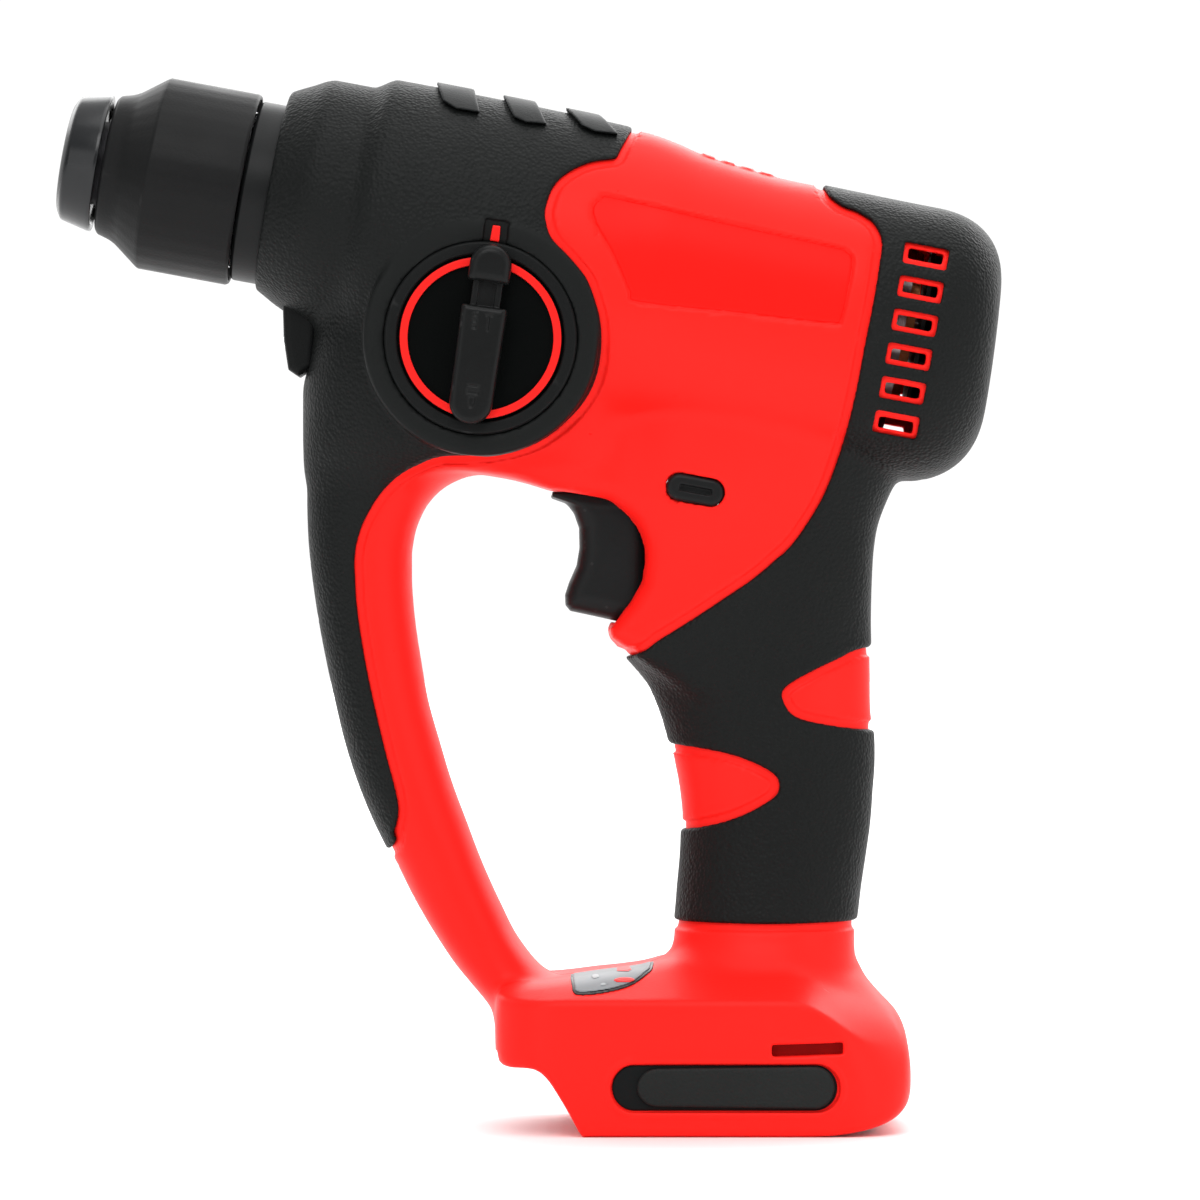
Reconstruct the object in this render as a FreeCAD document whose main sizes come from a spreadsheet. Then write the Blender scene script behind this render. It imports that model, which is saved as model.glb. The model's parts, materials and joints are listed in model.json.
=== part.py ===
import FreeCAD, Part
import math
import os
import Sketcher
from FreeCAD import Placement, Rotation, Vector

# Cordless rotary hammer, bare tool. Millimetres, +Z up, the nose towards -X.
# The origin is the middle of the battery foot's underside, where the tool stands.

DIMENSIONS = [
    # alias, value, what it is
    ("tilt_deg", 10.5, "barrel axis, nose up, from level"),
    ("nose_x", -169.75, "front end of the barrel axis"),
    ("nose_z", 242.0, "front end of the barrel axis"),
    ("shell_wall", 2.6, "housing wall"),
    ("skin", 0.8, "overmould thickness on the housing"),
    ("tool_bore_r", 5.0, "bit socket radius"),
    ("guide_end", 20.8, "rear end of the bit's guide bore, from the nose"),
    ("relief_r", 5.25, "bit socket behind the guide bore"),
    ("socket_end", 58.0, "depth where the bit socket ends, from the nose"),
    ("spindle_nose_r", 10.5, "spindle under the dust cap"),
    ("spindle_slide_r", 11.5, "spindle under the locking sleeve"),
    ("tube_r", 14.5, "hammer tube, outside"),
    ("tube_end", 137.0, "rear end of the hammer tube"),
    ("bolt_bore_r", 7.05, "guide bore of the impact bolt"),
    ("cylinder_r", 11.0, "air cylinder bore"),
    ("cap_r", 17.0, "dust cap"),
    ("cap_length", 9.2, "dust cap"),
    ("sleeve_r", 23.75, "locking sleeve"),
    ("sleeve_start", 10.6, "locking sleeve front"),
    ("sleeve_end", 45.7, "locking sleeve rear"),
    ("collar_r", 22.6, "front collar"),
    ("ball_r", 3.5, "locking ball"),
    ("ball_station", 32.0, "locking ball, from the nose"),
    ("case_r", 26.0, "gear case"),
    ("case_end", 98.0, "gear case rear rim"),
    ("bearing_r", 19.4, "front spindle bearing"),
    ("module_mm", 1.0, "gear module"),
    ("spindle_teeth", 36, "spindle gear"),
    ("lay_pinion_teeth", 12, "pinion on the intermediate shaft"),
    ("lay_gear_teeth", 28, "gear on the intermediate shaft"),
    ("motor_teeth", 10, "motor pinion"),
    ("lay_drop", 24.0, "intermediate shaft below the barrel axis"),
    ("motor_drop", 5.0, "motor axis below the barrel axis"),
    ("lay_r", 4.0, "intermediate shaft"),
    ("lay_bearing_r", 7.0, "intermediate shaft bearings"),
    ("hub_r", 11.0, "wobble hub sphere"),
    ("wobble_station", 150.0, "wobble centre, from the nose"),
    ("ring_r", 15.0, "wobble ring"),
    ("rotor_r", 13.0, "rotor core"),
    ("stator_r", 25.0, "stator core"),
    ("stator_start", 181.0, "stator front, from the nose"),
    ("stator_end", 213.0, "stator rear, from the nose"),
    ("motor_shaft_r", 3.0, "rotor shaft"),
    ("motor_bearing_r", 8.0, "motor front bearing"),
    ("fan_r", 21.0, "cooling fan"),
    ("dial_x", -65.5, "mode dial centre"),
    ("dial_z", 195.4, "mode dial centre"),
    ("seat_r", 28.8, "dial seat"),
    ("bezel_r", 23.5, "dial bezel ring"),
    ("dial_r", 20.6, "turning dial"),
    ("channel_half_y", 27.0, "battery channel between the rails"),
    ("groove_half_y", 31.0, "battery channel over the rails"),
    ("channel_top", 20.0, "battery channel roof height"),
    ("rail_height", 8.0, "rail height"),
    ("trigger_half_y", 9.5, "half the trigger's width"),
    ("button_half_length", 24.2, "push bar, from the middle to each end"),
    ("running", 0.06, "radial running clearance"),
    ("screw_r", 1.75, "housing screw shank"),
]
VALUES = {alias: value for alias, value, meaning in DIMENSIONS}

UP = Vector(0, 0, 1)
SIDE = Vector(0, 1, 0)
REARWARD = Vector(1, 0, 0)

doc = FreeCAD.newDocument("rotary_hammer")
sheet = doc.addObject("Spreadsheet::Sheet", "Dims")
for row, (alias, value, meaning) in enumerate(DIMENSIONS, start=1):
    sheet.set(f"A{row}", str(value))
    sheet.set(f"B{row}", meaning)
    sheet.setAlias(f"A{row}", alias)
doc.recompute()


class Size:
    """A length that knows its value and the sheet expression that gives it."""

    def __init__(self, value, text):
        self.value = float(value)
        self.text = text

    def __add__(self, other):
        other = as_size(other)
        return Size(self.value + other.value, f"({self.text} + {other.text})")

    def __sub__(self, other):
        other = as_size(other)
        return Size(self.value - other.value, f"({self.text} - {other.text})")

    def __mul__(self, factor):
        return Size(self.value * factor, f"({self.text} * {factor})")

    def __neg__(self):
        return Size(-self.value, f"(-1 * {self.text})")

    __radd__ = __add__
    __rmul__ = __mul__


def as_size(number):
    return number if isinstance(number, Size) else Size(number, f"({number})")


def dim(alias):
    return Size(VALUES[alias], f"Dims.{alias}")


TILT = math.radians(VALUES["tilt_deg"])
NOSE = Vector(VALUES["nose_x"], 0, VALUES["nose_z"])
AXIS = Vector(math.cos(TILT), 0, -math.sin(TILT))
RISE = Vector(math.sin(TILT), 0, math.cos(TILT))
# In the barrel frame z runs rearward from the nose and x rises from the axis.
BARREL = Placement(NOSE, Rotation(RISE, -SIDE, AXIS, "XYZ"))
LAY = BARREL * Placement(Vector(-VALUES["lay_drop"], 0, 0), Rotation())
MOTOR = BARREL * Placement(Vector(-VALUES["motor_drop"], 0, 0), Rotation())
# In the dial frame z points out of the tool's left side, and y rises with the lever.
DIAL_AT = Vector(VALUES["dial_x"], 0, VALUES["dial_z"])
DIAL = Placement(DIAL_AT, Rotation(AXIS, RISE, -SIDE, "XYZ"))
# Seen from the left: z out of the side, x rearward, y up.
LEFT_VIEW = Placement(Vector(0, 0, 0), Rotation(REARWARD, UP, -SIDE, "XYZ"))
NODES = []


def node(item, label, placement=None):
    """Names a finished sub-part and puts it in place."""
    item.Label = label
    if placement is not None:
        item.Placement = placement
    NODES.append(item)
    return item


def new_body(label):
    return doc.addObject("PartDesign::Body", label)


def base_plane(body, role):
    return next(f for f in body.Origin.OriginFeatures if f.Role == role)


def new_sketch(body, role, name, height=0):
    sketch = body.newObject("Sketcher::SketchObject", name)
    sketch.AttachmentSupport = (base_plane(body, role), [""])
    sketch.MapMode = "FlatFace"
    height = as_size(height)
    if height.value:
        sketch.setExpression(".AttachmentOffset.Base.z", height.text)
    return sketch


def pin_coordinate(sketch, kind, index, size):
    """Holds one coordinate of a sketch point at a sheet-driven distance from the origin."""
    size = as_size(size)
    if abs(size.value) < 1e-9:
        axis = -2 if kind == "DistanceX" else -1
        sketch.addConstraint(Sketcher.Constraint("PointOnObject", index, 1, axis))
        return
    if size.value > 0:
        made = sketch.addConstraint(Sketcher.Constraint(kind, -1, 1, index, 1, size.value))
        sketch.setExpression(f"Constraints[{made}]", size.text)
    else:
        made = sketch.addConstraint(Sketcher.Constraint(kind, index, 1, -1, 1, -size.value))
        sketch.setExpression(f"Constraints[{made}]", (-size).text)


def outline(sketch, points):
    """Draws a closed outline of straight lines with every corner held."""
    corners = [Vector(as_size(x).value, as_size(y).value, 0) for x, y in points]
    first = sketch.GeometryCount
    count = len(corners)
    for k in range(count):
        sketch.addGeometry(Part.LineSegment(corners[k], corners[(k + 1) % count]), False)
    for k in range(count):
        after = first + (k + 1) % count
        sketch.addConstraint(Sketcher.Constraint("Coincident", first + k, 2, after, 1))
    for k, (x, y) in enumerate(points):
        pin_coordinate(sketch, "DistanceX", first + k, x)
        pin_coordinate(sketch, "DistanceY", first + k, y)


def circle(sketch, x, y, radius):
    x, y, radius = as_size(x), as_size(y), as_size(radius)
    index = sketch.addGeometry(Part.Circle(Vector(x.value, y.value, 0), UP, radius.value), False)
    made = sketch.addConstraint(Sketcher.Constraint("Radius", index, radius.value))
    sketch.setExpression(f"Constraints[{made}]", radius.text)
    for kind, size, axis in (("DistanceX", x, -2), ("DistanceY", y, -1)):
        if abs(size.value) < 1e-9:
            sketch.addConstraint(Sketcher.Constraint("PointOnObject", index, 3, axis))
            continue
        if size.value > 0:
            made = sketch.addConstraint(Sketcher.Constraint(kind, -1, 1, index, 3, size.value))
            sketch.setExpression(f"Constraints[{made}]", size.text)
        else:
            made = sketch.addConstraint(Sketcher.Constraint(kind, index, 3, -1, 1, -size.value))
            sketch.setExpression(f"Constraints[{made}]", (-size).text)


def turned(label, profile, placement=BARREL):
    """A body of revolution from (radius, station) corners."""
    body = new_body(label)
    sketch = new_sketch(body, "XZ_Plane", label + "_profile")
    outline(sketch, profile)
    spin = body.newObject("PartDesign::Revolution", label + "_turn")
    spin.Profile = sketch
    spin.ReferenceAxis = (sketch, ["V_Axis"])
    spin.Angle = 360
    sketch.Visibility = False
    doc.recompute()
    return node(body, label, placement)


def padded(label, points, length, placement, start=0, holes=()):
    """A plate or block from an outline, with round holes as (x, y, radius)."""
    body = new_body(label)
    sketch = new_sketch(body, "XY_Plane", label + "_outline", start)
    outline(sketch, points)
    for x, y, radius in holes:
        circle(sketch, x, y, radius)
    pad = body.newObject("PartDesign::Pad", label + "_pad")
    pad.Profile = sketch
    length = as_size(length)
    pad.Length = length.value
    pad.setExpression("Length", length.text)
    doc.recompute()
    return node(body, label, placement)


def pocket(body, name, shapes, length, start=0, role="XY_Plane", both=False, away=False):
    """Cuts circles (x, y, r) or corner lists from a body and makes sure that it cut."""
    before = body.Shape.Volume
    sketch = new_sketch(body, role, name + "_sketch", start)
    for shape in shapes:
        if isinstance(shape, tuple) and len(shape) == 3:
            circle(sketch, *shape)
        else:
            outline(sketch, shape)
    cut = body.newObject("PartDesign::Pocket", name)
    cut.Profile = sketch
    length = as_size(length)
    cut.Length = length.value
    cut.setExpression("Length", length.text)
    cut.Midplane = both
    cut.Reversed = away
    doc.recompute()
    if body.Shape.Volume > before - 0.01:
        raise RuntimeError(f"{name} cut nothing")
    return cut


def formed(label, shape, placement=None):
    """A sub-part whose shape comes from Part's own functions."""
    item = doc.addObject("Part::Feature", label)
    item.Shape = shape
    return node(item, label, placement)


# ---------------------------------------------------------------- housing skin

# Sections across the barrel: station, lowest and highest from the axis, half width, squareness.
BODY_ROWS = [
    (56.0, -24.0, 25.6, 25.6, 2.0),
    (62.6, -31.0, 31.0, 31.0, 2.0),
    (73.0, -33.0, 31.2, 32.0, 2.0),
    (78.0, -36.0, 33.6, 33.0, 2.05),
    (110.0, -46.0, 33.3, 33.5, 2.2),
    (140.0, -50.0, 32.8, 33.5, 2.3),
    (156.0, -50.0, 28.6, 33.0, 2.6),
    (176.0, -50.0, 26.4, 33.0, 2.7),
    (207.0, -49.0, 26.4, 33.0, 2.6),
    (222.0, -44.0, 26.4, 32.0, 2.5),
    (229.0, -38.5, 23.5, 29.0, 2.3),
    (234.0, -31.0, 16.0, 22.0, 2.1),
    (236.4, -22.0, 8.0, 14.0, 2.0),
]
# Level sections: height, front and rear edge, half width, squareness.
CHIN_ROWS = [
    (200.0, -108.0, -30.0, 30.0, 3.0),
    (186.0, -110.0, -28.0, 29.0, 3.0),
    (172.0, -110.0, -28.0, 27.5, 3.0),
    (164.0, -109.5, -30.0, 24.0, 3.0),
    (159.5, -106.0, -34.0, 17.0, 3.0),
]
GUARD_ROWS = [
    (186.0, -110.5, -74.0, 20.0, 2.2),
    (172.0, -110.3, -74.0, 18.0, 2.2),
    (160.0, -109.7, -76.0, 15.0, 2.1),
    (150.0, -108.8, -82.6, 14.0, 2.0),
    (138.0, -107.6, -83.5, 13.5, 2.0),
    (122.0, -105.0, -82.0, 13.5, 2.0),
    (106.0, -102.0, -79.0, 13.5, 2.0),
    (90.0, -97.5, -75.0, 13.5, 2.0),
    (74.0, -90.5, -69.5, 13.7, 2.0),
    (60.0, -83.5, -63.0, 14.3, 2.0),
    (48.0, -77.0, -56.8, 15.5, 2.1),
    (38.0, -70.3, -48.0, 18.0, 2.2),
    (30.0, -64.5, -42.0, 22.0, 2.4),
    (20.0, -62.0, -38.0, 26.0, 2.6),
    (15.5, -59.0, -38.0, 25.0, 2.6),
]
GRIP_ROWS = [
    (186.0, -34.0, 50.0, 30.0, 2.4),
    (172.0, -34.0, 46.0, 27.0, 2.3),
    (160.0, -33.8, 39.0, 23.0, 2.6),
    (150.0, -30.0, 33.2, 20.4, 2.8),
    (140.0, -26.5, 31.4, 19.2, 2.8),
    (130.0, -29.0, 31.0, 18.6, 2.7),
    (121.0, -31.5, 31.0, 18.0, 2.4),
    (112.0, -25.8, 31.0, 17.5, 2.0),
    (104.0, -21.8, 31.4, 17.5, 2.0),
    (92.0, -17.3, 31.8, 17.5, 2.0),
    (78.0, -15.6, 31.0, 17.8, 2.0),
    (64.0, -16.4, 28.8, 18.5, 2.1),
    (52.0, -17.4, 27.2, 20.0, 2.2),
    (44.0, -20.0, 28.0, 24.0, 2.3),
    (36.0, -26.0, 31.0, 29.0, 2.4),
    (26.0, -34.0, 35.0, 33.0, 2.6),
]
FOOT_ROWS = [
    (0.0, -40.0, 39.5, 39.4, 7.0),
    (16.0, -40.5, 39.5, 39.4, 7.0),
    (24.0, -46.0, 39.0, 37.5, 4.5),
    (31.0, -50.0, 36.0, 32.0, 3.0),
    (36.5, -51.0, 31.0, 25.0, 2.6),
    (40.2, -46.0, 22.0, 14.0, 2.2),
]


def ring(centre, across, half_across, half_side, power):
    """A closed squarish oval about centre, spanned by across and the side direction."""
    points = []
    for step in range(32):
        angle = 2 * math.pi * step / 32
        c, s = math.cos(angle), math.sin(angle)
        a = half_across * math.copysign(abs(c) ** (2 / power), c)
        b = half_side * math.copysign(abs(s) ** (2 / power), s)
        points.append(centre + across * a + SIDE * b)
    curve = Part.BSplineCurve()
    curve.interpolate(points, PeriodicFlag=True)
    return Part.Wire([curve.toShape()])


def barrel_loft(rows, grow):
    wires = []
    for station, low, high, half_y, power in rows:
        centre = NOSE + AXIS * station + RISE * ((low + high) / 2)
        wires.append(ring(centre, RISE, (high - low) / 2 + grow, half_y + grow, power))
    return Part.makeLoft(wires, True, False)


def level_loft(rows, grow):
    wires = []
    for height, front, rear, half_y, power in rows:
        centre = Vector((front + rear) / 2, 0, height)
        half_x = (rear - front) / 2 + grow
        wires.append(ring(centre, REARWARD, half_x, half_y + grow, power))
    return Part.makeLoft(wires, True, False)


def housing_form(grow):
    """The whole outer form of the housing, grown (or shrunk) by a thickness."""
    body = [(s + grow if s > 222 else s, a, b, y, p) for s, a, b, y, p in BODY_ROWS]
    chin = [(z - grow if z < 165 else z, a, b, y, p) for z, a, b, y, p in CHIN_ROWS]
    if grow < 0:
        roof = VALUES["channel_top"] - grow
        guard = [row for row in GUARD_ROWS if row[0] >= 30]
        guard.append((roof + 1, -61.5, -38.0, 25.0, 2.5))
        foot = [(roof, -45.0, 39.0, 37.6, 4.6)]
        foot += [(z + grow if z > 32 else z, a, b, y, p) for z, a, b, y, p in FOOT_ROWS if z > 24]
    else:
        guard = [(z - grow if z < 21 else z, a, b, y, p) for z, a, b, y, p in GUARD_ROWS]
        foot = FOOT_ROWS
    form = barrel_loft(body, grow)
    for rows in (chin, guard, GRIP_ROWS, foot):
        form = form.fuse(level_loft(rows, grow))
    return form


def side_prism(corners, low_y=-80.0, high_y=80.0):
    """A prism through the tool, from (x, z) corners of a side view."""
    points = [Vector(x, low_y, z) for x, z in corners]
    face = Part.Face(Part.makePolygon(points + points[:1]))
    return face.extrude(Vector(0, high_y - low_y, 0))


# Side-view outlines of the two overmoulded regions.
FRONT_REGION = [
    (-27.5, 270), (-27.5, 248.5), (-33.8, 239.3), (-43.6, 236.8), (-48.8, 229.4), (-49.5, 225.8),
    (-47.8, 219.6), (-43.1, 214.7), (-38, 204.9), (-36.5, 195.1), (-37.7, 185.3), (-40.7, 180.3),
    (-44.6, 175.4), (-50.7, 170.5), (-55.9, 168.3), (-65.7, 166.6), (-75.5, 166.4), (-80.4, 164.6),
    (-85.8, 162), (-90.7, 157.5), (-94.7, 151.1), (-96.4, 146.1), (-97.2, 141.2), (-96.4, 131.2),
    (-95.2, 121.3), (-93.5, 111.4), (-91.5, 101.5), (-89, 91.6), (-86.5, 81.7), (-86.5, 76.8),
    (-88.3, 71.8), (-130, 60), (-130, 270),
]
REAR_REGION = [
    (19.2, 270), (19.2, 234.7), (22.7, 228.7), (27.6, 226.5), (31, 224.3), (32.7, 219.6),
    (32, 214.7), (28.8, 195.1), (24.9, 175.4), (22.2, 165.6), (18.2, 155.8), (11.9, 146),
    (1, 136.2), (-6.4, 131.2), (-13.8, 126.3), (-21.7, 121.4), (-28.1, 117.4), (-45, 117.4),
    (-45, 95.3), (-18.1, 95.3), (-6.5, 93.5), (0.5, 91.5), (7.7, 86.6), (8.2, 84.6),
    (6.2, 81.6), (-2.8, 76.7), (-15.2, 74.7), (-45, 74.7), (-45, 51.8), (60, 51.8),
    (60, 99.2), (31.5, 99.2), (11.6, 101.5), (8.9, 107.2), (13.1, 111.4), (30.5, 119),
    (60, 119), (90, 150), (90, 270),
]
TRIGGER = [
    (-48.2, 158), (-45.2, 155.6), (-43, 152), (-41.9, 147.5), (-42.2, 141.5), (-43.7, 136.2),
    (-45.5, 131.4), (-44.7, 129.2), (-40.5, 127.8), (-36.2, 126.5), (-33.2, 125.8), (-29.6, 129.5),
    (-27, 134), (-25.2, 139.8), (-25, 145), (-27, 151.2), (-30, 154.6), (-34.2, 158),
]
VENT_TOP = Vector(43.8, 0, 215.7)
VENT_STEP = Vector(-1.46, 0, -8.26)
VENT_COUNT = 6
VENT_LENGTH = 10.4
VENT_HEIGHT = 4.6
BUTTON_AT = Vector(-12.7, 0, 158.5)
BUTTON_LENGTH = 14.4
BUTTON_HEIGHT = 6.7


def slot_corners(centre, length, height, steps=8):
    """Corners of a round-ended slot lying along the barrel's slope, in a side view."""
    radius = height / 2
    reach = length / 2 - radius
    corners = []
    for side, start in ((1, -90), (-1, 90)):
        for k in range(steps + 1):
            angle = math.radians(start + 180 * k / steps)
            along = side * reach + radius * math.cos(angle)
            up = radius * math.sin(angle)
            point = centre + AXIS * along + RISE * up
            corners.append((point.x, point.z))
    return corners


def shifted(corners, move_x, move_z):
    return [(x + move_x, z + move_z) for x, z in corners]


def vent_prism(index):
    centre = VENT_TOP + VENT_STEP * index
    a = AXIS * (VENT_LENGTH / 2)
    b = RISE * (VENT_HEIGHT / 2)
    corners = [centre - a - b, centre + a - b, centre + a + b, centre - a + b]
    return side_prism([(c.x, c.z) for c in corners])


def foot_pad_prism(side, gap, depth_low, depth_high):
    """A long round-ended block on one flank of the foot; side is -1 left, 1 right."""
    radius = 5.0 + gap
    centre = Vector(-5.8, 0, 12.3)
    reach = 21.8
    corners = []
    for end, start in ((1, -90), (-1, 90)):
        for k in range(9):
            angle = math.radians(start + 180 * k / 8)
            x = centre.x + end * reach + radius * math.cos(angle)
            corners.append((x, centre.z + radius * math.sin(angle)))
    low, high = sorted((side * depth_low, side * depth_high))
    return side_prism(corners, low, high)


wall = VALUES["shell_wall"]
form = housing_form(0.0)
hollow = housing_form(-wall)
swollen = housing_form(VALUES["skin"])
shell = form.cut(hollow)
skin = swollen.cut(form)

# Openings: trigger, push bar, vents, battery channel, lamp, screws.
# The trigger's pocket is the trigger's own outline swept along its travel, with clearance.
trigger_gap = VALUES["trigger_half_y"] + 0.4
front_side = shifted(TRIGGER[:7], -0.4, 0)
under_side = shifted(TRIGGER[7:11], -0.4, -0.5)
back_side = shifted(TRIGGER[11:], 6.9, 0)
trigger_pocket = [(TRIGGER[0][0] - 0.4, 158.5)] + front_side + under_side
trigger_pocket += shifted(TRIGGER[10:11], 6.9, -0.5) + back_side + [(TRIGGER[-1][0] + 6.9, 158.5)]
trigger_cut = side_prism(trigger_pocket, -trigger_gap, trigger_gap)
button_cut = side_prism(slot_corners(BUTTON_AT, BUTTON_LENGTH + 0.6, BUTTON_HEIGHT + 0.6))
vent_cut = vent_prism(0).fuse([vent_prism(k) for k in range(1, VENT_COUNT)])
channel = VALUES["channel_half_y"]
groove = VALUES["groove_half_y"]
roof = VALUES["channel_top"]
rail = VALUES["rail_height"]
channel_cut = Part.makeBox(100, 2 * channel, roof + 5, Vector(-69, -channel, -5))
groove_cut = Part.makeBox(100, 2 * groove, roof - rail, Vector(-69, -groove, rail))
battery_cut = channel_cut.fuse(groove_cut)
seat_cut = Part.makeCylinder(VALUES["seat_r"] + 0.02, 60, DIAL_AT + SIDE * -80, SIDE)
lamp_cut = Part.makeBox(8, 18.2, 15.6, Vector(-118, -9.1, 188.4))
cutters = trigger_cut.fuse([button_cut, vent_cut, battery_cut, lamp_cut])

# Screws: x, z, and how far each one reaches into the left half, less 5 mm.
SCREWS = [(-93.5, 118.0, 10.5), (-70.0, 56.0, 10.5), (6.0, 88.0, 13.0), (45.0, 168.0, 17.0)]
bosses = []
screw_holes = []
for x, z, reach in SCREWS:
    bosses.append(Part.makeCylinder(4.2, 80, Vector(x, -40, z), SIDE))
    screw_holes.append(Part.makeCylinder(VALUES["screw_r"], reach + 10, Vector(x, 3 - reach, z), SIDE))
    screw_holes.append(Part.makeCylinder(3.7, 60, Vector(x, 7, z), SIDE))
shell = shell.fuse(bosses).common(form)
shell = shell.cut(cutters.fuse(screw_holes))
skin = skin.cut(trigger_cut.fuse([button_cut, vent_cut, lamp_cut] + screw_holes))

left_room = Part.makeBox(400, 100, 400, Vector(-200, -100, -20))
right_room = Part.makeBox(400, 100, 400, Vector(-200, 0, -20))
front_prism = side_prism(FRONT_REGION)
rear_prism = side_prism(REAR_REGION)
pads = {
    "left": foot_pad_prism(-1, 0.0, 38.4, 40.2),
    "right": foot_pad_prism(1, 0.0, 38.4, 40.2),
}
panel_room = Part.makeBox(20.0, 17.0, 20.0, Vector(-43.4, -24.5, 29.0))
panel_form = swollen.cut(form).common(panel_room)


def largest(shape):
    """Drops the loose crumbs that a trimmed skin leaves at its edges."""
    return max(shape.Solids, key=lambda solid: solid.Volume)


for side, room in (("left", left_room), ("right", right_room)):
    half = shell.common(room).cut(pads[side])
    front = skin.common(room).common(front_prism)
    rear = skin.common(room).common(rear_prism)
    if side == "left":
        half = half.cut(seat_cut)
        front = front.cut(seat_cut)
    formed(side + "_housing", largest(half))
    formed(side + "_front_overmould", largest(front))
    formed(side + "_rear_overmould", largest(rear))
    formed(side + "_foot_pad", pads[side])
formed("status_panel", panel_form)

# ---------------------------------------------------------------- chuck and spindle

turned("dust_cap", [
    (6.0, 0.0), (12.2, 0.0), (14.6, 1.0), (16.2, 3.0), (dim("cap_r"), 5.0),
    (dim("cap_r"), dim("cap_length")), (dim("spindle_nose_r"), dim("cap_length")),
    (dim("spindle_nose_r"), 2.2), (6.0, 2.2),
])
spindle = turned("spindle", [
    (5.6, 2.2), (dim("spindle_nose_r"), 2.2), (dim("spindle_nose_r"), 9.6),
    (dim("spindle_slide_r"), 9.6), (dim("spindle_slide_r"), 60.0), (dim("tube_r"), 60.0),
    (dim("tube_r"), dim("tube_end")), (dim("cylinder_r"), dim("tube_end")),
    (dim("cylinder_r"), 84.0), (dim("bolt_bore_r"), 84.0),
    (dim("bolt_bore_r"), dim("socket_end")), (dim("relief_r"), dim("socket_end")),
    (dim("relief_r"), dim("guide_end")), (dim("tool_bore_r"), dim("guide_end")),
    (dim("tool_bore_r"), 2.8),
])
pocket(spindle, "ball_windows", [(0, dim("ball_station"), dim("ball_r") + 0.06)], 30,
       role="XZ_Plane", both=True)
for side, name in ((1, "upper"), (-1, "lower")):
    near, far = side * 3.4, side * (dim("tool_bore_r") + 0.6)
    key_sketch = new_sketch(spindle, "XY_Plane", name + "_key_sketch", 26)
    outline(key_sketch, [(near, -1.3), (far, -1.3), (far, 1.3), (near, 1.3)])
    key = spindle.newObject("PartDesign::Pad", name + "_drive_key")
    key.Profile = key_sketch
    key.Length = 26
doc.recompute()
for side, name in ((-1, "left"), (1, "right")):
    ball = doc.addObject("Part::Sphere", name + "_locking_ball")
    ball.setExpression("Radius", "Dims.ball_r")
    reach = BARREL.multVec(Vector(0, -side * 7.4, VALUES["ball_station"]))
    node(ball, name + "_locking_ball", Placement(reach, Rotation()))
turned("locking_sleeve", [
    (12.4, 10.9), (dim("cap_r") - 0.4, dim("sleeve_start")), (17.4, 11.2), (18.6, 15.0),
    (19.0, 15.6), (dim("sleeve_r") - 0.35, 22.1), (dim("sleeve_r"), 23.0),
    (dim("sleeve_r"), dim("sleeve_end") - 0.6), (dim("sleeve_r") - 0.5, dim("sleeve_end")),
    (dim("collar_r") + 0.35, dim("sleeve_end")), (dim("collar_r") + 0.35, 38.0),
    (13.6, 38.0), (13.6, 12.4), (12.4, 12.4),
])
turned("sleeve_core", [
    (dim("spindle_slide_r") + dim("running"), 12.4), (13.6, 12.4), (13.6, 38.0),
    (dim("spindle_slide_r") + dim("running"), 38.0),
])
coils = [Part.makeTorus(19.0, 0.8, Vector(0, 0, 0.8 + 2.0 * k), UP) for k in range(4)]
formed("sleeve_spring", Part.makeCompound(coils), BARREL * Placement(Vector(0, 0, 43.9), Rotation()))
turned("front_collar", [
    (15.2, 45.8), (16.6, 45.8), (16.6, 51.8), (21.4, 51.8), (21.4, 45.8), (dim("collar_r"), 45.8),
    (dim("collar_r"), 56.0), (21.9, 56.0), (21.9, 53.0), (15.2, 53.0),
])
case = turned("gear_case", [
    (15.2, 53.0), (21.5, 53.0), (21.5, 60.5), (dim("case_r"), 65.0), (dim("case_r"), dim("case_end")),
    (dim("case_r") - 2.2, dim("case_end")), (dim("case_r") - 2.2, 78.0), (dim("bearing_r"), 78.0),
    (dim("bearing_r"), 66.0), (15.2, 66.0),
])
boss_sketch = new_sketch(case, "XY_Plane", "lay_boss_sketch", 90)
circle(boss_sketch, -dim("lay_drop"), 0, dim("lay_bearing_r") + 1.9)
boss = case.newObject("PartDesign::Pad", "lay_boss")
boss.Profile = boss_sketch
boss.Length = 20
doc.recompute()
pocket(case, "lay_bearing_seat", [(-dim("lay_drop"), 0, dim("lay_bearing_r"))], 8, start=102, away=True)
turned("front_bearing", [
    (dim("tube_r") + dim("running"), 66.4), (dim("bearing_r"), 66.4), (dim("bearing_r"), 77.6),
    (dim("tube_r") + dim("running"), 77.6),
])
turned("rear_bearing", [
    (dim("tube_r") + dim("running"), 127.0), (17.4, 127.0), (17.4, 135.0),
    (dim("tube_r") + dim("running"), 135.0),
])
padded("rear_flange", [
    (-19.4, -25.4), (10, -25.4), (16, -24.2), (22, -18), (22, 18), (16, 24.2), (10, 25.4), (-19.4, 25.4),
], 6, BARREL, start=128, holes=[(0, 0, 17.4)])
turned("impact_bolt", [
    (0, 60.5), (3.6, 60.5), (4.5, 61.6), (4.5, 67.0), (dim("bolt_bore_r") - dim("running"), 68.5),
    (dim("bolt_bore_r") - dim("running"), 83.4), (5.2, 85.5), (0, 85.5),
])
turned("striker", [
    (0, 97.5), (8.4, 97.5), (dim("cylinder_r") - dim("running"), 100.0),
    (dim("cylinder_r") - dim("running"), 104.0), (8.7, 104.0), (8.7, 106.4),
    (dim("cylinder_r") - dim("running"), 106.4), (dim("cylinder_r") - dim("running"), 112.3),
    (0, 112.3),
])
seal = doc.addObject("Part::Torus", "striker_ring")
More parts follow.
